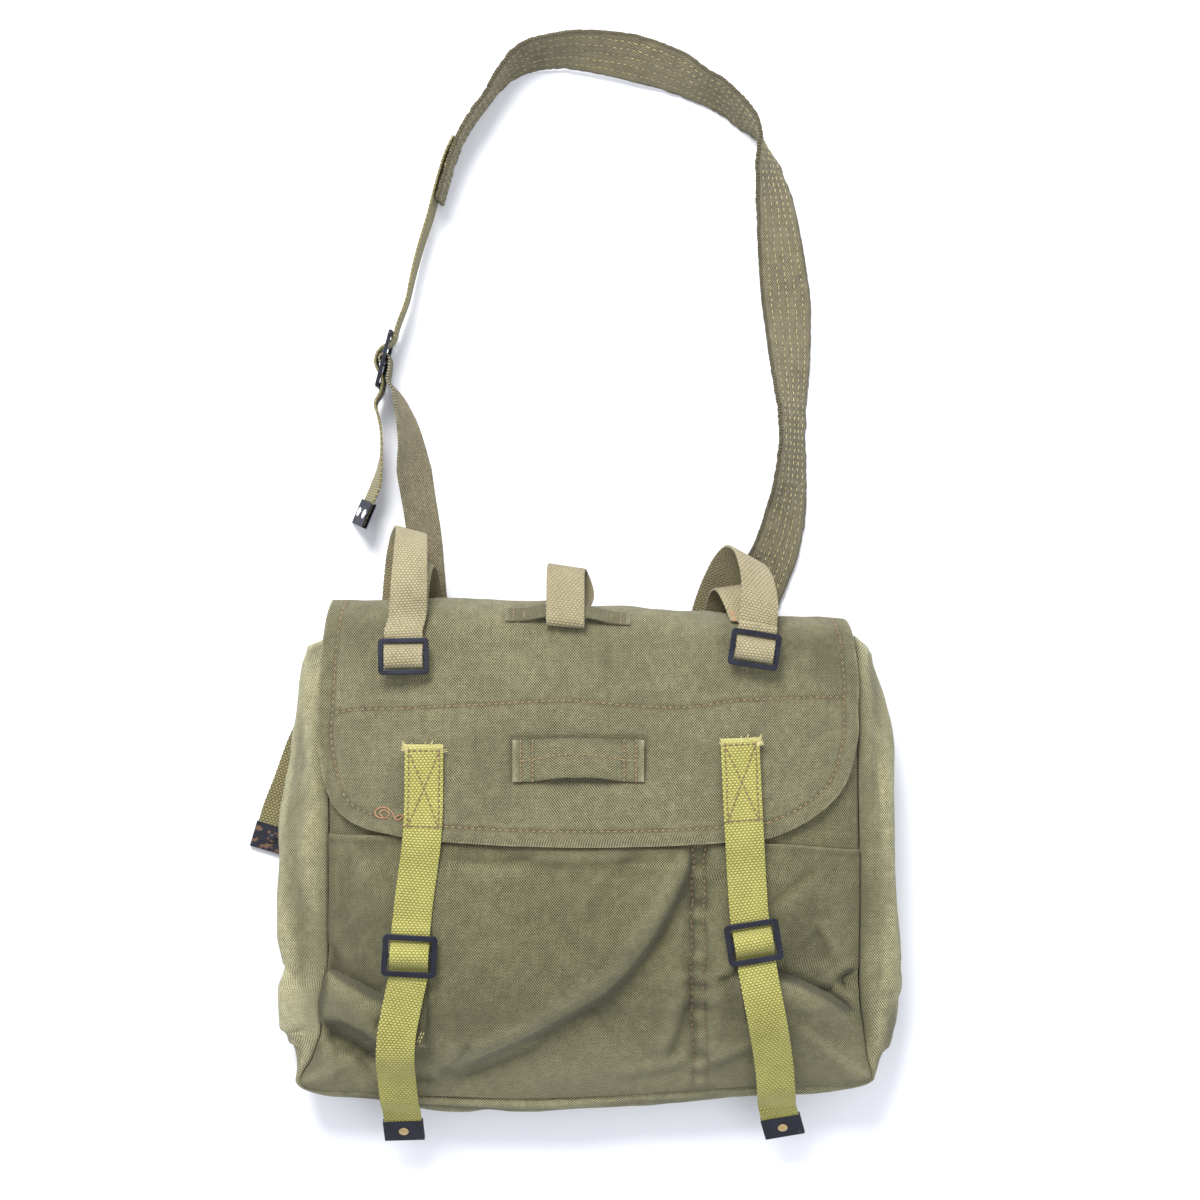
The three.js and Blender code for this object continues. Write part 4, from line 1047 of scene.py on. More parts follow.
# %% Flap
rows = spread(FLAP_LAST, 0, FLAP_FRONT_LINES)[:-1]
across = spread(0, 1, FLAP_COLUMNS)
line_y = np.interp(rows, np.arange(FLAP_LAST + 1), FLAP_SIDES["y"])
left = column_at(FLAP_SIDES, "y", "left", line_y)[:, None]
right = column_at(FLAP_SIDES, "y", "right", line_y)[:, None]
x = left + (right - left) * across
y = line_y[:, None] - FLAP_DIP * (1 - (2 * across - 1) ** 2) * ((rows / FLAP_LAST) ** 3)[:, None]
free = smoothstep(FOLD_Y - y, 6, 36)
x, y = x + 0.9 * free * ripple(y, x * 0.2, 17, 23), y + 0.9 * free * ripple(x, y * 0.2, 24, 22)
outline = np.column_stack([np.concatenate([v[::-1, 0], v[0], v[:, -1]]) for v in (x, y)])


def flap_rows(x, y):
    """Distances from the flap's edge, from the stitches of its hem and from the wavy row of stitches."""
    from_edge = near_line(outline[::2], x, y)[0]
    return from_edge, from_edge - HEM, near_line(WAVE_LINE, x, y)[0]


def flap_rise(x, y):
    """Rise of the flap's face: a doubled hem, a loose edge, and grooves and puckers along the stitches."""
    from_edge, from_hem, from_wave = flap_rows(x, y)
    hem = HEM_RISE * (1 - smoothstep(from_hem, -1.5, 1))
    loose = 0.9 * np.exp(-from_edge / 7) * ripple(x, y, 28, 21) ** 2
    groove = -0.5 * (bell(from_hem, 1.5) + bell(from_wave, 1.5))
    near = bell(from_hem, 6) + bell(from_wave, 6)
    puckers = 0.9 * near * ripple(x, y, 6, 25) ** 2 + 1.1 * ripple(x, y, 24, 24) ** 2
    return np.maximum(hem + loose + groove + puckers, -0.4) * smoothstep(FOLD_Y - y, 0, 10)


flap_front = np.stack([x, y, front_height(x, y) + FLAP_LIFT + flap_rise(x, y)], axis=-1)
_, from_hem, from_wave = flap_rows(x, y)
beside = np.abs(x - (KEEPER["left"] + KEEPER["right"]) / 2) - (KEEPER["right"] - KEEPER["left"]) / 2
around = np.maximum(beside, np.abs(y - KEEPER["y"] - 1) - KEEPER["width"] / 2)
# Painted shade in the hollows, in grooves along both rows of stitches, and round the keeper where it casts
# its shadow
front_shade = np.clip(0.25 * valley(x, y, 7.0), 0, 0.4) + 0.58 * (bell(from_wave, 1.2) + bell(from_hem, 1.2))
front_shade = front_shade + 0.45 * bell(around - 0.6, 1.8)

t = spread(0, 1, FLAP_FOLD_LINES)[:, None]
taper = FOLD_TAPER * t * (2 - t)
left = FLAP_SIDES["left"][0] + taper
right = FLAP_SIDES["right"][0] - taper
x = left + (right - left) * across
ys, zs = fold_bends(x)
soft = np.sin(math.pi * t) * (ripple(x, t * 90, 24, 31) * 1.2 + ripple(x, t * 90, 9, 32) * 0.3)
flap_fold = np.stack([x, bezier(ys, t) + soft, bezier(zs, t) + 0.3 * soft], axis=-1)
flap_cloth = Cloth(np.concatenate([flap_front, flap_fold]), CANVAS)
rim = np.minimum(flap_cloth.from_sides(), flap_cloth.along[:, None])
# Painted shade along the hem's stitches over the fold
fold_shade = 0.5 * bell(rim[-FLAP_FOLD_LINES:] - HEM, 1.2)
painted_shade_and_tone = np.clip(np.concatenate([front_shade, fold_shade]), 0, 0.7)
spotty = 0.25 + 0.75 * np.clip(ripple(flap_cloth.points[:, :, 0], flap_cloth.points[:, :, 1], 5, 26), 0, 1)
flap = sew("flap", flap_cloth, FLAP_CANVAS, 0.6 * bell(rim, 1.1) * spotty, painted_shade_and_tone, round_rim=0.4)

# %% [markdown]
# ## Straps
# A strap is a strip of cloth through stations: each has its middle, its direction across and its width.
# The stations are those of the part's own straps, except that the right flap strap, the top loops, the
# centre loop, the keeper and the shoulder strap's last rolls are set a little nearer to the photo. One
# smooth curve runs through them, with points every one or two millimetres.


# %% Strips through stations
def stations(places, across, width):
    """Stations from lists of places, directions across and widths; one direction or width serves for all."""
    count = len(places)
    across = np.broadcast_to(np.asarray(across, float), (count, 3))
    width = np.broadcast_to(np.asarray(width, float), (count,))
    return [(np.asarray(p, float), a, w) for p, a, w in zip(places, across, width)]


def strip(rows, columns, thickness, spacing=1.6, ribs=None, notch=0.0):
    """A sheet through the stations, with points about spacing apart. Ribs gives a rise for each point,
    and notch how far every second row of threads stands out at the edges."""
    places = np.array([r[0] for r in rows])
    across = unit(np.array([r[1] for r in rows]))
    widths = np.array([r[2] for r in rows])
    gaps = np.linalg.norm(np.diff(places, axis=0), axis=1)
    counts = np.maximum(1, np.rint(gaps / spacing)).astype(int)
    where = np.concatenate([k + np.arange(n) / n for k, n in enumerate(counts)] + [[len(rows) - 1]])
    k = np.clip(where.astype(int), 0, len(rows) - 2)
    t = smoothstep(where - k, 0, 1)[:, None]
    turned = unit(across[k] * (1 - t) + across[k + 1] * t)
    wide = widths[k] * (1 - t[:, 0]) + widths[k + 1] * t[:, 0]
    wide = wide + notch * (np.arange(len(wide)) % 2 - 0.5)
    offset = spread(-0.5, 0.5, columns)
    points = smooth_curve(places, where)[:, None] + turned[:, None] * (wide[:, None] * offset)[:, :, None]
    if ribs is not None:
        points = points + Cloth(points, thickness).normals * ribs(offset, where)[:, :, None]
    return Cloth(points, thickness, middle=True)


def resting_height(x, y, reach):
    """Height at which a stiff strip comes to rest over the cloth around a place."""
    steps = np.array([-1, -0.5, 0, 0.5, 1]) * reach
    dx, dy = np.meshgrid(steps, steps)
    return float(front_height(x + dx, y + dy).max())


FLAP_EDGE = FLAP_SIDES["y"][-1] - FLAP_DIP


def layer_lift(y):
    return POCKET_LIFT + (FLAP_LIFT - POCKET_LIFT) * smoothstep(y, FLAP_EDGE - 14, FLAP_EDGE - 1)


def place_at(x, y, z, turn, lean):
    return (
        Matrix.Translation((x, y, z))
        @ Matrix.Rotation(math.radians(turn), 4, "Z")
        @ Matrix.Rotation(math.radians(lean), 4, "X")
    )


def threaded(place, rows, width):
    """Stations of webbing through a slide, from rows of (along, above) in the slide's own frame."""
    across = place.to_3x3() @ Vector((1, 0, 0))
    return stations([place @ Vector((0, along, above)) for along, above in rows], across, width)


def straight_end(rows, end):
    """The stations with a straight, level run to the end added."""
    at, across, width = rows[-1]
    reach = np.asarray(end, float) - at
    level = across - unit(reach) * across.dot(unit(reach))
    return rows + stations([at + reach * 0.08, end], unit(level), width)


def frayed_ends(cloth, reach=2.0):
    return bell(np.minimum(cloth.along, cloth.length - cloth.along), reach)[:, None]


print("flap ends at y", FLAP_EDGE, "mm in the middle")


# %% [markdown]
# Two green straps are sewn to the flap, pass over the middle of a slide and hang below the bag. Each
# slide is held by a tab of canvas that is folded round its bar. The rows of along and above place the
# webbing in the slide's own frame, so that it threads the slide whichever way it is turned.

# %% Flap straps and their tabs
STRIP_COLUMNS = 15
EDGE_NOTCH = 0.5
SLIDE_RISE = 5.6
TAB_WIDTH = 25
TAB_INNER = 2
OVER_BAR = [[17, -2.2], [12.5, -2.2], [8.4, -2.2], [6.6, -0.6], [5, 2.2], [2.6, 4.3], [0, 4.8], [-2.6, 4.3],
            [-5, 2.2], [-6.6, -0.6], [-8.4, -2.2], [-12.5, -2.2]]
FLAP_STRAPS = {
    "left": {"slide": (-112.7, -50.5), "turn": -3, "tab_drop": 58,
             "tip": [(-121, -156, 42), (-120, -175.4, 28)],
             "run": [[-104, 80], [-104, 66], [-104, 50], [-104.3, 34], [-105.4, 18], [-107.5, 2], [-110, -16],
                     [-111.4, -30]],
             "tail": [[-114.5, -68], [-118, -84], [-121, -100], [-122.4, -116], [-122.4, -132],
                      [-121.6, -148]]},
    "right": {"slide": (100.2, -42), "turn": 9, "tab_drop": 50,
              "tip": [(118, -153, 40), (124, -173.4, 26)],
              "run": [[92, 84], [92.6, 68], [93.2, 52], [93.9, 36], [94.7, 20], [95.6, 4], [96.5, -10]],
              "tail": [[102.8, -60], [105.8, -76], [109, -92], [112, -108], [114.6, -124], [116.6, -142]]},
}


def lying(places, lift=0.0):
    """Stations of webbing that lies on the front."""
    tops = [resting_height(x, y, 12) + layer_lift(y) + LAYER_GAP + WEBBING / 2 + lift for x, y in places]
    run = np.gradient(np.array(places, float), axis=0)
    across = unit(np.column_stack([-run[:, 1], run[:, 0], np.zeros(len(run))]))
    return stations([(x, y, z) for (x, y), z in zip(places, tops)], across, WEBBING_WIDTH)


def webbing_strip(rows):
    return strip(rows, STRIP_COLUMNS, WEBBING, notch=EDGE_NOTCH)


flap_straps = {}
tabs = {}
for side, strap in FLAP_STRAPS.items():
    x, y = strap["slide"]
    place = place_at(x, y, resting_height(x, y, 14) + POCKET_LIFT + SLIDE_RISE, strap["turn"], 0)
    tail = lying(strap["tail"], CANVAS + 3.5 * LAYER_GAP)
    tail += stations([strap["tip"][0]], (1, 0, 0), WEBBING_WIDTH)
    rows = lying(strap["run"]) + threaded(place, OVER_BAR, WEBBING_WIDTH) + tail
    cloth = webbing_strip(straight_end(rows, strap["tip"][1]))
    wear_and_painted_light = 0.8 * bell(cloth.along, 3)[:, None]
    piece = sew(f"flap_strap_{side}", cloth, GREEN_WEBBING, wear_and_painted_light, round_rim=0.35)
    flap_straps[side] = (piece, cloth)

    across = place.to_3x3() @ Vector((1, 0, 0))
    sewn = [place @ Vector((0, -along, 0)) for along in range(strap["tab_drop"], 13, -8)]
    for point in sewn:
        point.z = resting_height(point.x, point.y, 12) + POCKET_LIFT + LAYER_GAP + CANVAS / 2
    ring = TAB_INNER + CANVAS / 2
    bent = [[-7, -4.3], [-2.6, -3.6], [0.4, -ring - 0.2], [2.2, -1.8], [ring, 0.4], [1.6, 2.3], [-0.8, ring],
            [-2.5, 1.2], [-ring, -0.9]]
    rows = stations(sewn, across, TAB_WIDTH) + threaded(place, bent, TAB_WIDTH)
    cloth = strip(rows, STRIP_COLUMNS, CANVAS, 1.2)
    # A darker tone all over, and painted shade along the long edges
    dark = 0.5 + 0.4 * bell(TAB_WIDTH / 2 - np.abs(cloth.across), 1.5)
    wear_and_painted_light = 0.3 * frayed_ends(cloth)
    piece = sew(f"buckle_tab_{side}", cloth, FRONT_CANVAS, wear_and_painted_light, dark, round_rim=0.3)
    tabs[side] = (piece, cloth)

# %% [markdown]
# The two khaki straps on top stand up in loops behind their slides. They are hardest to place, so their
# stations are given round the flap's fold: how far round it and how far off it.

# %% Sizes of the top loops
TOP_SLIDE_RISE = 7.2
# The turn reaches further down than the part's own, so that the webbing fills the slide
ROUND_BAR = [[16, -2.2], [12, -2.2], [8.4, -2.2], [6, -0.2], [3.2, 2.2], [0, 3.1], [-4, 2.7], [-6.4, 0.6],
             [-6.2, -1.8], [-3, -3.7], [0.4, -4.2], [5, -4.9], [13, -5.1]]
TOP_STRAPS = {
    "left": {"slide": (-117, 134.7), "turn": 1, "lean": -7},
    "right": {"slide": (101.3, 139), "turn": -9, "lean": -6},
}
# Each row is x, how far round the fold, how far off it, and the yaw and tip of the webbing in degrees
TOP_LOOPS = {
    "left": [
        [-115.2, 0.14, 7, 2, 4],
        [-114, 0.24, 18, 1, 14],
        [-113.6, 0.33, 31, -7, 24],
        [-114, 0.42, 41, -13, 28],
        [-116, 0.5, 44, -16, 26],
        [-119.4, 0.58, 39, -16, 18],
        [-122, 0.66, 28, -13, 5],
        [-123.6, 0.74, 14, -6, 0],
        [-124.4, 0.81, 5, -3, 0],
        [-124.6, 0.88, 2, 0, 0],
        [-124.6, 0.95, 1.6, 0, 0],
    ],
    "right": [
        [103.4, 0.12, 7, -12, -2],
        [105, 0.22, 17, -19, -4],
        [103.6, 0.32, 28, -25, -6],
        [100, 0.41, 36, -29, -7],
        [95, 0.5, 38, -29, -6],
        [89, 0.58, 33, -25, -5],
        [83, 0.66, 23, -17, -3],
        [78, 0.74, 12, -10, -1],
        [75.6, 0.81, 5, -5, 0],
        [74.6, 0.88, 2, 0, 0],
        [74, 0.95, 1.6, 0, 0],
    ],
}
TOP_TABS = {
    "left": [
        [-115, 0.18, 2, 0, 0],
        [-115, 0.22, 2.8, -1, 0],
        [-114.4, 0.28, 9, -4, 0],
        [-113.4, 0.35, 17, -8, 0],
        [-112, 0.43, 23, -11, 0],
        [-110.4, 0.51, 22, -11, 0],
        [-108.8, 0.58, 15, -9, 0],
        [-107.4, 0.64, 7, -6, 0],
        [-106.6, 0.7, 2.2, -2, 0],
        [-106.2, 0.76, 1.5, 0, 0],
    ],
    "right": [
        [99, 0.18, 2, -6, 0],
        [98, 0.22, 2.8, -4, 0],
        [96, 0.28, 7, 0, 0],
        [93, 0.35, 13, 5, 0],
        [90, 0.43, 17, 8, 0],
        [87.4, 0.51, 16, 8, 0],
        [85.4, 0.58, 11, 6, 0],
        [84, 0.64, 5, 3, 0],
        [83.4, 0.7, 1.8, 1, 0],
        [83, 0.76, 1.5, 0, 0],
    ],
}
print(len(TOP_LOOPS["left"]), "stations in each top loop")

# %% Top straps and loops
AWAY_SHADE = 0.55


def turned_away(cloth, rows, first, last):
    """Dark shade that grows from one station to another, for the part of a loop that faces away."""
    lengths = running_length(np.array([r[0] for r in rows]))
    return AWAY_SHADE * smoothstep(cloth.along, lengths[first], lengths[last])[:, None]


def loop_stations(rows):
    made = []
    for x, fold_at, stand, yaw, tip in rows:
        yaw, tip = math.radians(yaw), math.radians(tip)
        across = (math.cos(yaw) * math.cos(tip), math.sin(yaw) * math.cos(tip), math.sin(tip))
        made += stations([off_fold(x, fold_at, stand)[0]], across, WEBBING_WIDTH)
    return made


top_tabs = {}
for side, strap in TOP_STRAPS.items():
    x, y = strap["slide"]
    z = resting_height(x, y, 14) + FLAP_LIFT + TOP_SLIDE_RISE
    place = place_at(x, y, z, strap["turn"], strap["lean"])
    rows = loop_stations(TOP_LOOPS[side])[::-1] + threaded(place, ROUND_BAR, WEBBING_WIDTH)
    cloth = webbing_strip(rows)
    away = AWAY_SHADE - turned_away(cloth, rows, 4, 6)
    piece = sew(f"top_strap_{side}", cloth, KHAKI_WEBBING, painted_shade_and_tone=away, round_rim=0.35)
    declare(cloth)
    rows = loop_stations(TOP_TABS[side])
    cloth = webbing_strip(rows)
    away = turned_away(cloth, rows, 3, 5)
    piece = sew(f"top_tab_{side}", cloth, KHAKI_WEBBING, painted_shade_and_tone=away, round_rim=0.35)
    top_tabs[side] = (piece, cloth)

# %% [markdown]
# A band of canvas bridges the middle of the top, and a closed loop of webbing goes round it. The keeper
# on the flap is a bridge of the same kind.

# %% Centre band and centre loop
BAND = {"left": -54, "right": 24, "width": 10, "rise": 5, "fold": 0.19}
CENTRE_LOOP_X = -16.4
# Each row is how far round the fold, how far off it and how far to the right
CENTRE_LOOP = [[0.19, 2.4, 1], [0.135, 3, 0], [0.105, 5.4, 0], [0.125, 8.2, 0], [0.19, 9, 0], [0.28, 14, 0],
               [0.36, 20, 0], [0.42, 23, 0.6], [0.47, 21, 2], [0.46, 14, 4.6], [0.41, 7, 6], [0.34, 3.4, 5],
               [0.27, 2.4, 3]]
BRIDGE_STATIONS = 13
# Rows of points that are surely not yet back at the loop's start
LAP_SKIP = 20

rows = []
for t in spread(0, 1, BRIDGE_STATIONS):
    x = BAND["left"] + (BAND["right"] - BAND["left"]) * t
    arch = BAND["rise"] * float(smoothstep(min(t, 1 - t), 0.1, 0.36))
    at, run = off_fold(x, BAND["fold"], CANVAS / 2 + 0.2 + arch)
    rows += stations([at], run, BAND["width"])
band_cloth = strip(rows, 11, CANVAS, 1.5)
wear_and_painted_light = 0.3 * frayed_ends(band_cloth)
centre_band = sew("centre_band", band_cloth, FLAP_CANVAS, wear_and_painted_light, 0.45, round_rim=0.3)

# The stations run round more than once, so that the curve is smooth where the loop closes
loop = np.array(CENTRE_LOOP)
loop_places = [off_fold(CENTRE_LOOP_X + right, fold_at, stand)[0] for fold_at, stand, right in CENTRE_LOOP]
ring_places = loop_places[-3:] + loop_places + loop_places[:4]
yaw = np.radians(-4 - 0.2 * np.concatenate([loop[-3:, 1], loop[:, 1], loop[:4, 1]]))
rows = stations(ring_places, np.column_stack([np.cos(yaw), np.sin(yaw), 0 * yaw]), WEBBING_WIDTH)
ring = strip(rows, STRIP_COLUMNS, WEBBING, 1.5).points
middle = ring[:, STRIP_COLUMNS // 2]
first = np.argmin(np.linalg.norm(middle - loop_places[0], axis=1))
again = first + LAP_SKIP + np.argmin(np.linalg.norm(middle[first + LAP_SKIP:] - middle[first], axis=1))
loop_cloth = Cloth(np.concatenate([ring[first:again], ring[first:first + 1]]), WEBBING, middle=True)
share = (loop_cloth.along / loop_cloth.length)[:, None]
# Darker all round, with painted shade on the part of the loop that faces away
away = 0.14 + 0.45 * smoothstep(share, 0.48, 0.6) * (1 - smoothstep(share, 0.94, 1))
centre_loop = sew("centre_loop", loop_cloth, KHAKI_WEBBING, painted_shade_and_tone=away, closed=True,
                  round_rim=0.35)

# %% Keeper on the flap
rows = []
for t in spread(0, 1, BRIDGE_STATIONS):
    x = KEEPER["left"] + (KEEPER["right"] - KEEPER["left"]) * t
    arch = KEEPER["rise"] * float(smoothstep(min(t, 1 - t), 0.14, 0.34))
    z = resting_height(x, KEEPER["y"], 12) + FLAP_LIFT + LAYER_GAP + CANVAS / 2 + arch
    bow = float(smoothstep(min(t, 1 - t), 0.1, 0.4))
    rows += stations([(x, KEEPER["y"] + 2 * bow, z)], (0, 1, 0), KEEPER["width"] * (1 - 0.06 * bow))
keeper_cloth = strip(rows, 17, CANVAS, 1.5)
keeper_edge = KEEPER["width"] / 2 - np.abs(keeper_cloth.across)
keeper_rows = np.array([5, 12.5, keeper_cloth.length - 12.5, keeper_cloth.length - 5])
from_row = np.abs(keeper_cloth.along[:, None] - keeper_rows).min(axis=1)
# Painted shade along the long edges and along the rows of stitches; the ends fray pale
painted_shade_and_tone = 0.4 * bell(keeper_edge, 2) + 0.45 * bell(from_row, 1.3)[:, None]
wear_and_painted_light = 0.25 * frayed_ends(keeper_cloth) + 0.5 * frayed_ends(keeper_cloth, 4) * bell(keeper_edge, 3)
flap_keeper = sew("flap_keeper", keeper_cloth, FLAP_CANVAS, wear_and_painted_light, painted_shade_and_tone, round_rim=0.3)

# %% [markdown]
# ## The long strap
# The wide strap is two layers of canvas, quilted with rows of stitches, so its faces have long soft ribs.
# It twists as it lies: roll turns its width up from the floor. A narrow strap runs from its end through a
# slide to a black tip.

# %% Shoulder strap
STRAP_WIDTH = 35
STRAP_THICKNESS = 2.6
RIB_ROOM = 1.2
FLOOR_GAP = 0.3
QUILT_ROWS = 6
# Each row is x, y, the roll in degrees and the lift
SHOULDER = [
    [92, 133, 0, 0],
    [97, 150, 0, 0],
    [105, 171, 18, 0],
    [118.6, 200, 33, 0],
    [125, 223, 40, 0],
    [128, 244, 52, 0],
    [129.5, 270, 61, 0],
    [129.2, 294, 58, 0],
    [128, 330, 37, 0],
    [126, 364, 24, 0],
    [123, 391, 30, 0],
    [118.4, 427, 46, 0],
    [113.6, 450.5, 62, 0],
    [108, 470.5, 90, 0],
    [101, 479.5, 103, 0],
    [84, 495, 113, 0],
    [69, 503, 117, 0],
    [55.5, 510.5, 125, 1],
    [28.5, 519.5, 134, 3],
    [3, 524, 131, 3],
    [-20, 525, 120, 2],
    [-44, 519.5, 112, 1],
    [-57, 509, 98, 0],
    [-67, 495.5, 92, 0],
    [-82, 474, 91, 0],
    [-89.6, 457, 91, 0],
    [-95.6, 437, 92, 0],
    [-98.4, 427, 92, 0],
]


def ground_stations(rows, thickness, width, steps):
    """Stations of a strap on the floor, with its width's lower edge on the floor or lifted off it."""
    rows = np.asarray(rows, float)
    last = len(rows) - 1
    where = spread(0, last, last * steps + 1)
    places = smooth_curve(rows[:, :2], where)
    ahead = smooth_curve(rows[:, :2], np.clip(where + 0.02, 0, last))
    behind = smooth_curve(rows[:, :2], np.clip(where - 0.02, 0, last))
    run = unit(ahead - behind)
    width = np.broadcast_to(width, (last + 1,))
    roll, lift, wide = (np.interp(where, np.arange(last + 1), v) for v in (rows[:, 2], rows[:, 3], width))
    roll = np.radians(roll)
    z = FLOOR_GAP + lift + wide / 2 * np.abs(np.sin(roll)) + thickness / 2 * np.abs(np.cos(roll))
    across = np.column_stack([-run[:, 1] * np.cos(roll), run[:, 0] * np.cos(roll), np.sin(roll)])
    return stations(np.column_stack([places, z]), across, wide)


def quilting(offset, where):
    channel = 0.5 * np.abs(np.sin(math.pi * (offset * 0.94 + 0.5) * QUILT_ROWS)) ** 0.6 - 0.3
    return channel + ripple(where[:, None] * 60, offset * 60, 6, 41) * 0.55


uneven = STRAP_WIDTH + np.random.default_rng(45).uniform(-1.4, 1.4, len(SHOULDER))
rows = ground_stations(SHOULDER, STRAP_THICKNESS + RIB_ROOM, uneven, 6)
strap_cloth = strip(rows, 37, STRAP_THICKNESS, 2.0, quilting)
# Painted shade in the channels between the rows of quilting and along both edges
quilt_channel_shade = 0.3 * np.cos(math.pi * (strap_cloth.across / STRAP_WIDTH * 0.97 + 0.5) * QUILT_ROWS) ** 8
painted_shade_and_tone = np.clip(0.7 * bell(strap_cloth.from_sides(), 1.4) + quilt_channel_shade, 0, 0.75)
shoulder_strap = sew("shoulder_strap", strap_cloth, STRAP_CANVAS, painted_shade_and_tone=painted_shade_and_tone, round_rim=0.6)

# %% [markdown]
# The slide of the long strap stands on its edge, so the frame of the slide is built from the strap's
# direction. The straps leave the floor towards it by a share that grows with each station.

# %% Adjusting strap and buckle strap
SHOULDER_SLIDE_WIDTH = 34
SLIDE_AT = {"x": -133.4, "y": 324.7, "along": (0.246, 0.969)}
ADJUSTING_LEAD = [[-88, 468.5, 97, 0], [-93.8, 456, 96, 0], [-100, 436, 95, 0], [-105, 417, 94, 0],
                  [-110.6, 399, 93, 0], [-114.8, 383, 92, 0], [-119, 363.5, 90, 0]]
ADJUSTING_TAIL = [[-139.6, 296, 88, 0], [-136.6, 280, 86, 0], [-136.4, 264, 84, 0], [-138.4, 250, 76, 0],
                  [-140.6, 242, 68, 0]]
ADJUSTING_END = (-150.6, 218.5)
TIP_CLEARANCE = 1.2
TIP_NARROWER = 4
THROUGH_SLIDE = [[22, -2.6], [14.8, -2.6], [11, -1], [7.6, 2.6], [3.6, 5], [0, 5.5], [-3.6, 5], [-7.6, 2.6],
                 [-11, -1], [-14.8, -2.6], [-21, -2.8]]
SHORT_STRAP = [[-99, 128, 0, 0], [-103, 148, 0, 0], [-107, 170, 16, 0], [-107.6, 191, 28, 0],
               [-109, 212, 33, 0], [-112, 232, 34, 0], [-115.4, 254, 38, 0], [-117, 270, 54, 0],
               [-120, 285, 64, 0], [-124.6, 299, 78, 0], [-127.8, 306, 88, 0]]
SHORT_WIDTHS = [27, 27, 26, 25, 25, 25, 27, 26, 25, 25, 25]
ROUND_MIDDLE_BAR = [[-13, -5.4], [-6, -4.6], [0, -3.4], [2.8, -1.8], [3.2, 0.6], [1.4, 2.9], [-1.4, 2.9],
                    [-3.1, 0.8]]

along = Vector((*SLIDE_AT["along"], 0)).normalized()
up_axis = Vector((0, 0, 1))
slide_place = Matrix((up_axis, along, up_axis.cross(along))).transposed().to_4x4()
slide_place.translation = (SLIDE_AT["x"], SLIDE_AT["y"], SHOULDER_SLIDE_WIDTH / 2 + FLOOR_GAP)


def raised(rows, target, shares, extra=0.0):
    """Stations lifted towards a height by a share each."""
    return [
        (at + np.array([0, 0, extra + (target - at[2]) * share]), across, width)
        for (at, across, width), share in zip(rows, shares)
    ]


in_slide = threaded(slide_place, THROUGH_SLIDE, WEBBING_WIDTH)
slide_height = float(in_slide[0][0][2])
lead = ground_stations(ADJUSTING_LEAD, WEBBING, WEBBING_WIDTH, 2)
lead = raised(lead, slide_height, (np.arange(len(lead)) / len(lead)) ** 2)
trail = ground_stations(ADJUSTING_TAIL, WEBBING, WEBBING_WIDTH, 2)
trail = raised(trail, slide_height, (1 - np.arange(len(trail)) / len(trail)) ** 4, TIP_CLEARANCE)
trail[-1] = (trail[-1][0], trail[-1][1], WEBBING_WIDTH - TIP_NARROWER)
rows = straight_end(lead + in_slide + trail, (*ADJUSTING_END, trail[-1][0][2]))
adjusting_cloth = webbing_strip(rows)
wear_and_painted_light = 0.8 * frayed_ends(adjusting_cloth, 4)
adjusting_strap = sew("adjusting_strap", adjusting_cloth, OLIVE_WEBBING, wear_and_painted_light, round_rim=0.35)

short_end = threaded(slide_place, ROUND_MIDDLE_BAR, TAB_WIDTH)
short = ground_stations(SHORT_STRAP, CANVAS, SHORT_WIDTHS, 3)
short = raised(short, float(short_end[0][0][2]), (np.arange(len(short)) / len(short)) ** 6)
short_cloth = strip(short + short_end, 21, CANVAS)
buckle_strap = sew("buckle_strap", short_cloth, STRAP_CANVAS, round_rim=0.3)

# %% Side strap
SIDE_STRAP = [(-146, 130, 1.4), (-160, 115, 1.4), (-174, 98, 1.4), (-186, 77, 1.4), (-196, 50, 1.6),
              (-203, 32, 2.1)]
SIDE_END = (-210.4, 7, 2.1)

run = np.gradient(np.array(SIDE_STRAP), axis=0)
level = np.column_stack([-run[:, 1], run[:, 0], np.zeros(len(run))])
side_cloth = webbing_strip(straight_end(stations(SIDE_STRAP, level, WEBBING_WIDTH), SIDE_END))
side_strap = sew("side_strap", side_cloth, OLIVE_WEBBING, round_rim=0.35)

# %% [markdown]
# ## Slides, tips and rivets
# The hard pieces have the right form already, but their edges are knife sharp. A copy of each is merged,
# its flat faces are joined, and a bevel rounds every edge so that it catches the light. The rivets are
# small domes.


# %% Softened metal
FLAT_ANGLE = math.radians(2)
SHARP_ANGLE = math.radians(40)


def softened(node, finish, width):
    """A copy of a hard node with rounded edges, standing for the node."""
    metal = bmesh.new()
    metal.from_mesh(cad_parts[node].data)
    bmesh.ops.remove_doubles(metal, verts=metal.verts, dist=1e-6)
    bmesh.ops.dissolve_limit(metal, angle_limit=FLAT_ANGLE, verts=metal.verts, edges=metal.edges)
    sharp = [e for e in metal.edges if len(e.link_faces) == 2 and e.calc_face_angle() > SHARP_ANGLE]
    bmesh.ops.bevel(metal, geom=sharp, offset=width * MM, affect="EDGES", segments=3, profile=0.5,
                    material=-1, clamp_overlap=True)
    piece = link(node + "_metal", mesh_from(metal, node + "_metal"), finish, [node])
    piece.modifiers.new("flats", "WEIGHTED_NORMAL").keep_sharp = True


SLIDES = ["front_buckle_left", "front_buckle_right", "top_buckle_left", "top_buckle_right", "shoulder_buckle"]
TIPS = {"strap_tip_left": BLACK_STEEL, "strap_tip_right": BLACK_STEEL, "adjusting_tip": DULL_STEEL,
        "side_tip": WORN_STEEL}
SLIDE_ROUNDING = 1.0
TIP_ROUNDING = 0.22
for node in SLIDES:
    softened(node, BLACK_STEEL, SLIDE_ROUNDING)
for node, steel in TIPS.items():
    softened(node, steel, TIP_ROUNDING)
print(len(SLIDES) + len(TIPS), "softened metal pieces")

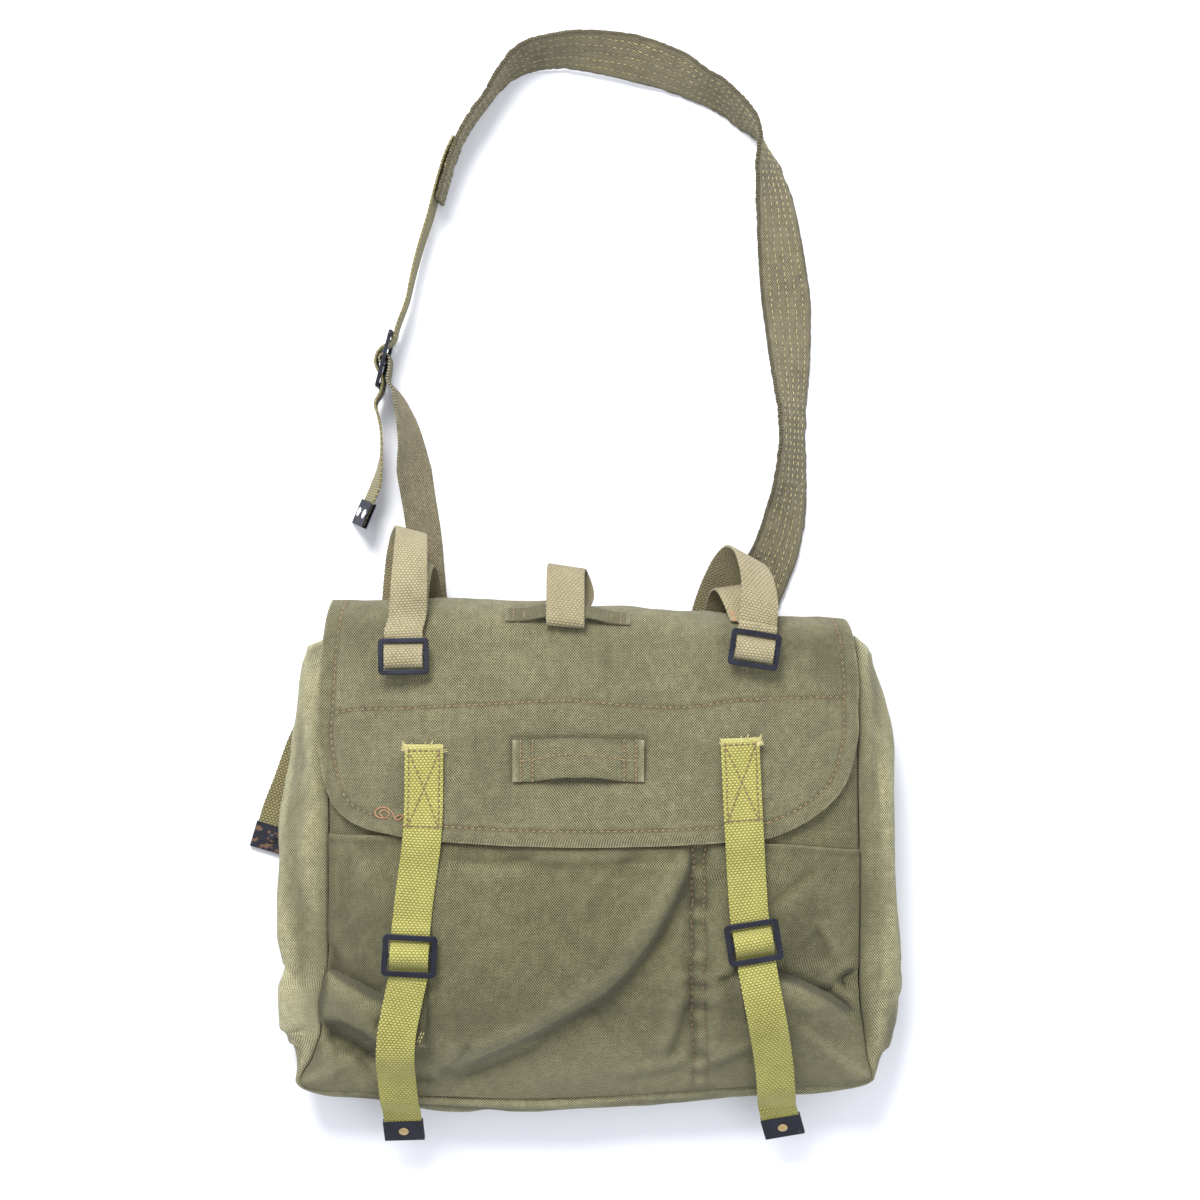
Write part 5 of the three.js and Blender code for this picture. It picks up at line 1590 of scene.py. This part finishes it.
# %% Rivets
RIVET_RADIUS = 3.2
RIVET_DOME = 0.9
RIVETS = {
    "tip_rivet_left": (BRASS, "brass"),
    "tip_rivet_right": (BRASS, "brass"),
    "adjusting_rivet_a": (BRIGHT_TIN, "brass"),
    "adjusting_rivet_b": (BRIGHT_TIN, "brass"),
    "side_rivet": (WORN_STEEL, "black_metal"),
}


def rivet(node, finish):
    """A domed rivet head on the same seat as the node."""
    corners = np.array([v.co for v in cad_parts[node].data.vertices])
    middle = (corners.max(0) + corners.min(0)) / 2
    _, _, axes = np.linalg.svd(corners - corners.mean(0), full_matrices=False)
    normal = Vector(axes[2] if axes[2][2] > 0 else -axes[2])
    seat = Matrix.Translation(middle) @ normal.to_track_quat("Z", "Y").to_matrix().to_4x4()
    size = Matrix.Diagonal((RIVET_RADIUS * MM, RIVET_RADIUS * MM, RIVET_DOME * MM, 1))
    head = bmesh.new()
    bmesh.ops.create_uvsphere(head, u_segments=28, v_segments=14, radius=1, matrix=seat @ size)
    link(node + "_head", mesh_from(head, node + "_head"), finish, [node])


for node, (metal, slot) in RIVETS.items():
    rivet(node, metal)
print(len(RIVETS), "rivets")

# %% [markdown]
# ## Stitches
# Sewing shows as rows of short thread grains. One grain is a small squeezed sphere. Copies of it are laid
# along each line of stitching, sunk half way into the cloth, and joined into one mesh for each piece's
# thread.

# %% Grains of thread
STITCH_PITCH = 4.2
STITCH_LENGTH = 2.9
STITCH_WIDTH = 1.3
FLATTENED = 0.8

ball = bmesh.new()
bmesh.ops.create_uvsphere(ball, u_segments=6, v_segments=5, radius=0.5)
GRAIN = mesh_from(ball, "grain")


def along_line(points, pitch):
    """Places every pitch along a line of points."""
    points = np.asarray(points, float)
    lengths = running_length(points)
    where = spread(0, lengths[-1], max(2, int(round(lengths[-1] / pitch)) + 1))
    return np.column_stack([np.interp(where, lengths, column) for column in points.T])


def stitches(name, lines, finish, seed, length=STITCH_LENGTH, width=STITCH_WIDTH):
    """One mesh of thread grains. Each line is a list of places with the cloth's normals there."""
    chance = np.random.default_rng(seed)
    row = bmesh.new()
    for places, normals in lines:
        for at, along, normal in zip(places, unit(np.gradient(places, axis=0)), normals):
            along = along + chance.normal(0, 0.06, 3)
            along = unit(along - normal * along.dot(normal))
            size = length * chance.uniform(0.85, 1.1)
            seat = np.eye(4)
            seat[:3, 0] = np.cross(normal, along) * width * MM
            seat[:3, 1] = normal * width * FLATTENED * MM
            seat[:3, 2] = along * size * MM
            seat[:3, 3] = at * MM
            grain = GRAIN.copy()
            grain.transform(Matrix(seat.tolist()))
            row.from_mesh(grain)
            bpy.data.meshes.remove(grain)
    print(name, len(row.verts) // len(GRAIN.vertices), "stitches")
    return link(name, mesh_from(row, name), finish)


def sewn_line(cloth, points, pitch=STITCH_PITCH, side=1):
    """Stitch places on a cloth, along a line of (across, along) points."""
    places = along_line(points, pitch)
    return cloth.at(places[:, 0], places[:, 1], side)


def flap_line(points, pitch=STITCH_PITCH):
    """Stitch places on the flap's front, along a line of (x, y) points."""
    x, y = along_line(points, pitch).T
    z = front_height(x, y) + FLAP_LIFT + flap_rise(x, y) + 0.1
    return np.column_stack([x, y, z]), front_normal(x, y)


def pocket_line(points):
    """Stitch places on the pocket, along a line of (x, y) points."""
    x, y = along_line(points, STITCH_PITCH).T
    normal = front_normal(x, y)
    return np.column_stack([x, y, front_height(x, y)]) + normal * (POCKET_LIFT + 0.35), normal


print("one grain has", len(GRAIN.polygons), "faces")


# %% Flap stitching
LOOSE_THREAD = [
    (-130, 34.8), (-131.3, 37), (-130, 38.8), (-127.5, 38.5), (-126, 36.4), (-127.5, 34.5),
    (-131.3, 34.2), (-134.1, 35.7), (-134.4, 38.2), (-131.9, 40.2), (-128.8, 40.6), (-125.7, 39.2),
    (-123.5, 37), (-121.9, 33.9), (-119.8, 32.9), (-118.2, 34.2), (-117.2, 35.4), (-119.4, 36),
    (-121, 35.1),
]

run = unit(outline[2:] - outline[:-2])
inner = outline[1:-1] + np.column_stack([-run[:, 1], run[:, 0]]) * HEM
inner = inner[near_line(outline[::2], inner[:, 0], inner[:, 1])[0] > HEM - 0.6]
over_top = np.arange(FLAP_FRONT_LINES - 1, FLAP_FRONT_LINES + int(0.4 * FLAP_FOLD_LINES))
hem_left = [(flap_cloth.across[r, 0] + HEM, flap_cloth.along[r]) for r in over_top]
hem_right = [(flap_cloth.across[r, -1] - HEM, flap_cloth.along[r]) for r in over_top]
lines = [flap_line(inner), flap_line(WAVE_LINE)]
lines += [sewn_line(flap_cloth, hem) for hem in (hem_left, hem_right)]
flap_stitches = stitches("flap_stitches", lines, BROWN_THREAD, 51)

half = KEEPER["width"] / 2 - 1
lines = [sewn_line(keeper_cloth, [(-half, v), (half, v)], 3.2, -1) for v in keeper_rows]
middle = [(0, 6), (1.5, 22), (2.5, 42), (1, 62), (0, keeper_cloth.length - 6)]
lines.append(sewn_line(keeper_cloth, middle, 4, -1))
keeper_stitches = stitches("keeper_stitches", lines, BROWN_THREAD, 52, 2.8, 1.25)

curl = smooth_curve(LOOSE_THREAD, spread(0, len(LOOSE_THREAD) - 1, 160))
places, normals = flap_line(curl, 0.7)
places = places + normals * (0.7 + 0.35 * np.sin(spread(0, 19, len(places))))[:, None]
loose_thread = stitches("loose_thread", [(places, normals)], TAN_THREAD, 53, 1.7, 0.85)
declare(flap_cloth)
declare(keeper_cloth)

# %% [markdown]
# The green straps are sewn down with a box and a cross, and their cut ends fray into single threads. The
# same grains serve for both, long and thin for the fraying.

# %% Flap strap stitching
BOX_CORNERS = [(-9.5, 4), (9.5, 4), (9.5, 51), (-9.5, 51)]
BOX_LINES = [
    BOX_CORNERS + BOX_CORNERS[:1],
    BOX_CORNERS[0::2],
    BOX_CORNERS[1::2],
    [(-11.5, 51.5), (11.5, 50.5)],
]
BOX_PITCH = 3.6
FRAYED_CORNER = 11.5
FRAYED_THREADS = 26


def frayed_threads(cloth, corner):
    """Short threads at a strap's upper end, every second one at the corner that frays most."""
    chance = np.random.default_rng(61)
    lines = []
    for k in range(FRAYED_THREADS):
        aside = chance.uniform(-12, 12) if k % 2 else corner
        at, normal = cloth.at([aside], [max(chance.uniform(-0.4, 5), 0)], -1, 0.2)
        away = [aside / 12 * chance.uniform(0.2, 1), chance.uniform(0.1, 1), chance.uniform(-0.1, 0.15)]
        places = at + np.outer([-0.5, 0.5, 1.5], unit(np.array(away))) * chance.uniform(0.8, 1.6)
        lines.append((places, np.repeat(normal, 3, axis=0)))
    return lines


for side, (piece, cloth) in flap_straps.items():
    lines = [sewn_line(cloth, line, BOX_PITCH, -1) for line in BOX_LINES]
    box = stitches(f"strap_box_{side}", lines, DARK_THREAD, 60)
    lines = frayed_threads(cloth, -FRAYED_CORNER if side == "left" else FRAYED_CORNER)
    fray = stitches(f"strap_fray_{side}", lines, YELLOW_THREAD, 62, 2.4, 0.42)
    declare(cloth)
for side, (piece, cloth) in tabs.items():
    lines = [sewn_line(cloth, [(7 + k, 4), (9 + k, 9)], 2.4) for k in (0, 1.6)]
    tack = stitches(f"buckle_tab_stitches_{side}", lines, YELLOW_THREAD, 64, 2.2, 0.8)
    declare(cloth)

# %% Body stitching
declare(back_cloth)
declare(gusset_cloth)
declare(panel_cloth)
seam_y = spread(16, -138, 80)
lines = [
    pocket_line(np.column_stack([seam_middle(seam_y) + aside, seam_y]))
    for aside in (-DOUBLE_SEAM_HALF, DOUBLE_SEAM_HALF)
]
pocket_stitches = stitches("pocket_stitches", lines, DARK_THREAD, 70)
declare(pocket_cloth)

# %% Long strap and top stitching
lines = []
for k in range(1, QUILT_ROWS):
    offset = (k / QUILT_ROWS - 0.5) / 0.94 * STRAP_WIDTH * 0.97
    line = [(offset, 2), (offset, strap_cloth.length - 2)]
    lines += [sewn_line(strap_cloth, line, side=face) for face in (1, -1)]
quilt_stitches = stitches("quilt_stitches", lines, YELLOW_THREAD, 80, 2.7, 0.66)
declare(strap_cloth)
declare(adjusting_cloth)
for side, aside in (("left", 10), ("right", -9)):
    piece, cloth = top_tabs[side]
    lines = [sewn_line(cloth, [(aside + k, 1), (aside - k, 8)], 2.0) for k in (-1, 0, 1)]
    tack = stitches(f"tab_tack_{side}", lines, TAN_THREAD, 85, 2.2, 0.8)
    declare(cloth)
lines = [
    sewn_line(short_cloth, [(offset, 40), (offset, short_cloth.length - 40)], side=face)
    for offset in (-9.5, -3.2, 3.2) for face in (1, -1)
]
short_stitches = stitches("short_strap_stitches", lines, BROWN_THREAD, 81, 2.6, 0.9)
declare(short_cloth)
declare(side_cloth)
band_ends = [(5, 8), (12, 4), (band_cloth.length - 12, 4), (band_cloth.length - 6, 8)]
lines = [sewn_line(band_cloth, [(-reach / 2, v), (reach / 2, v)], 2.6, -1) for v, reach in band_ends]
band_stitches = stitches("band_stitches", lines, BROWN_THREAD, 90, 2.2, 0.9)
declare(band_cloth)
declare(loop_cloth)

# %% Sizes
visual_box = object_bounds()
for name, box in (("cad", cad_box), ("visual", visual_box)):
    print(name, [[round(v * 1000, 1) for v in corner] for corner in box])
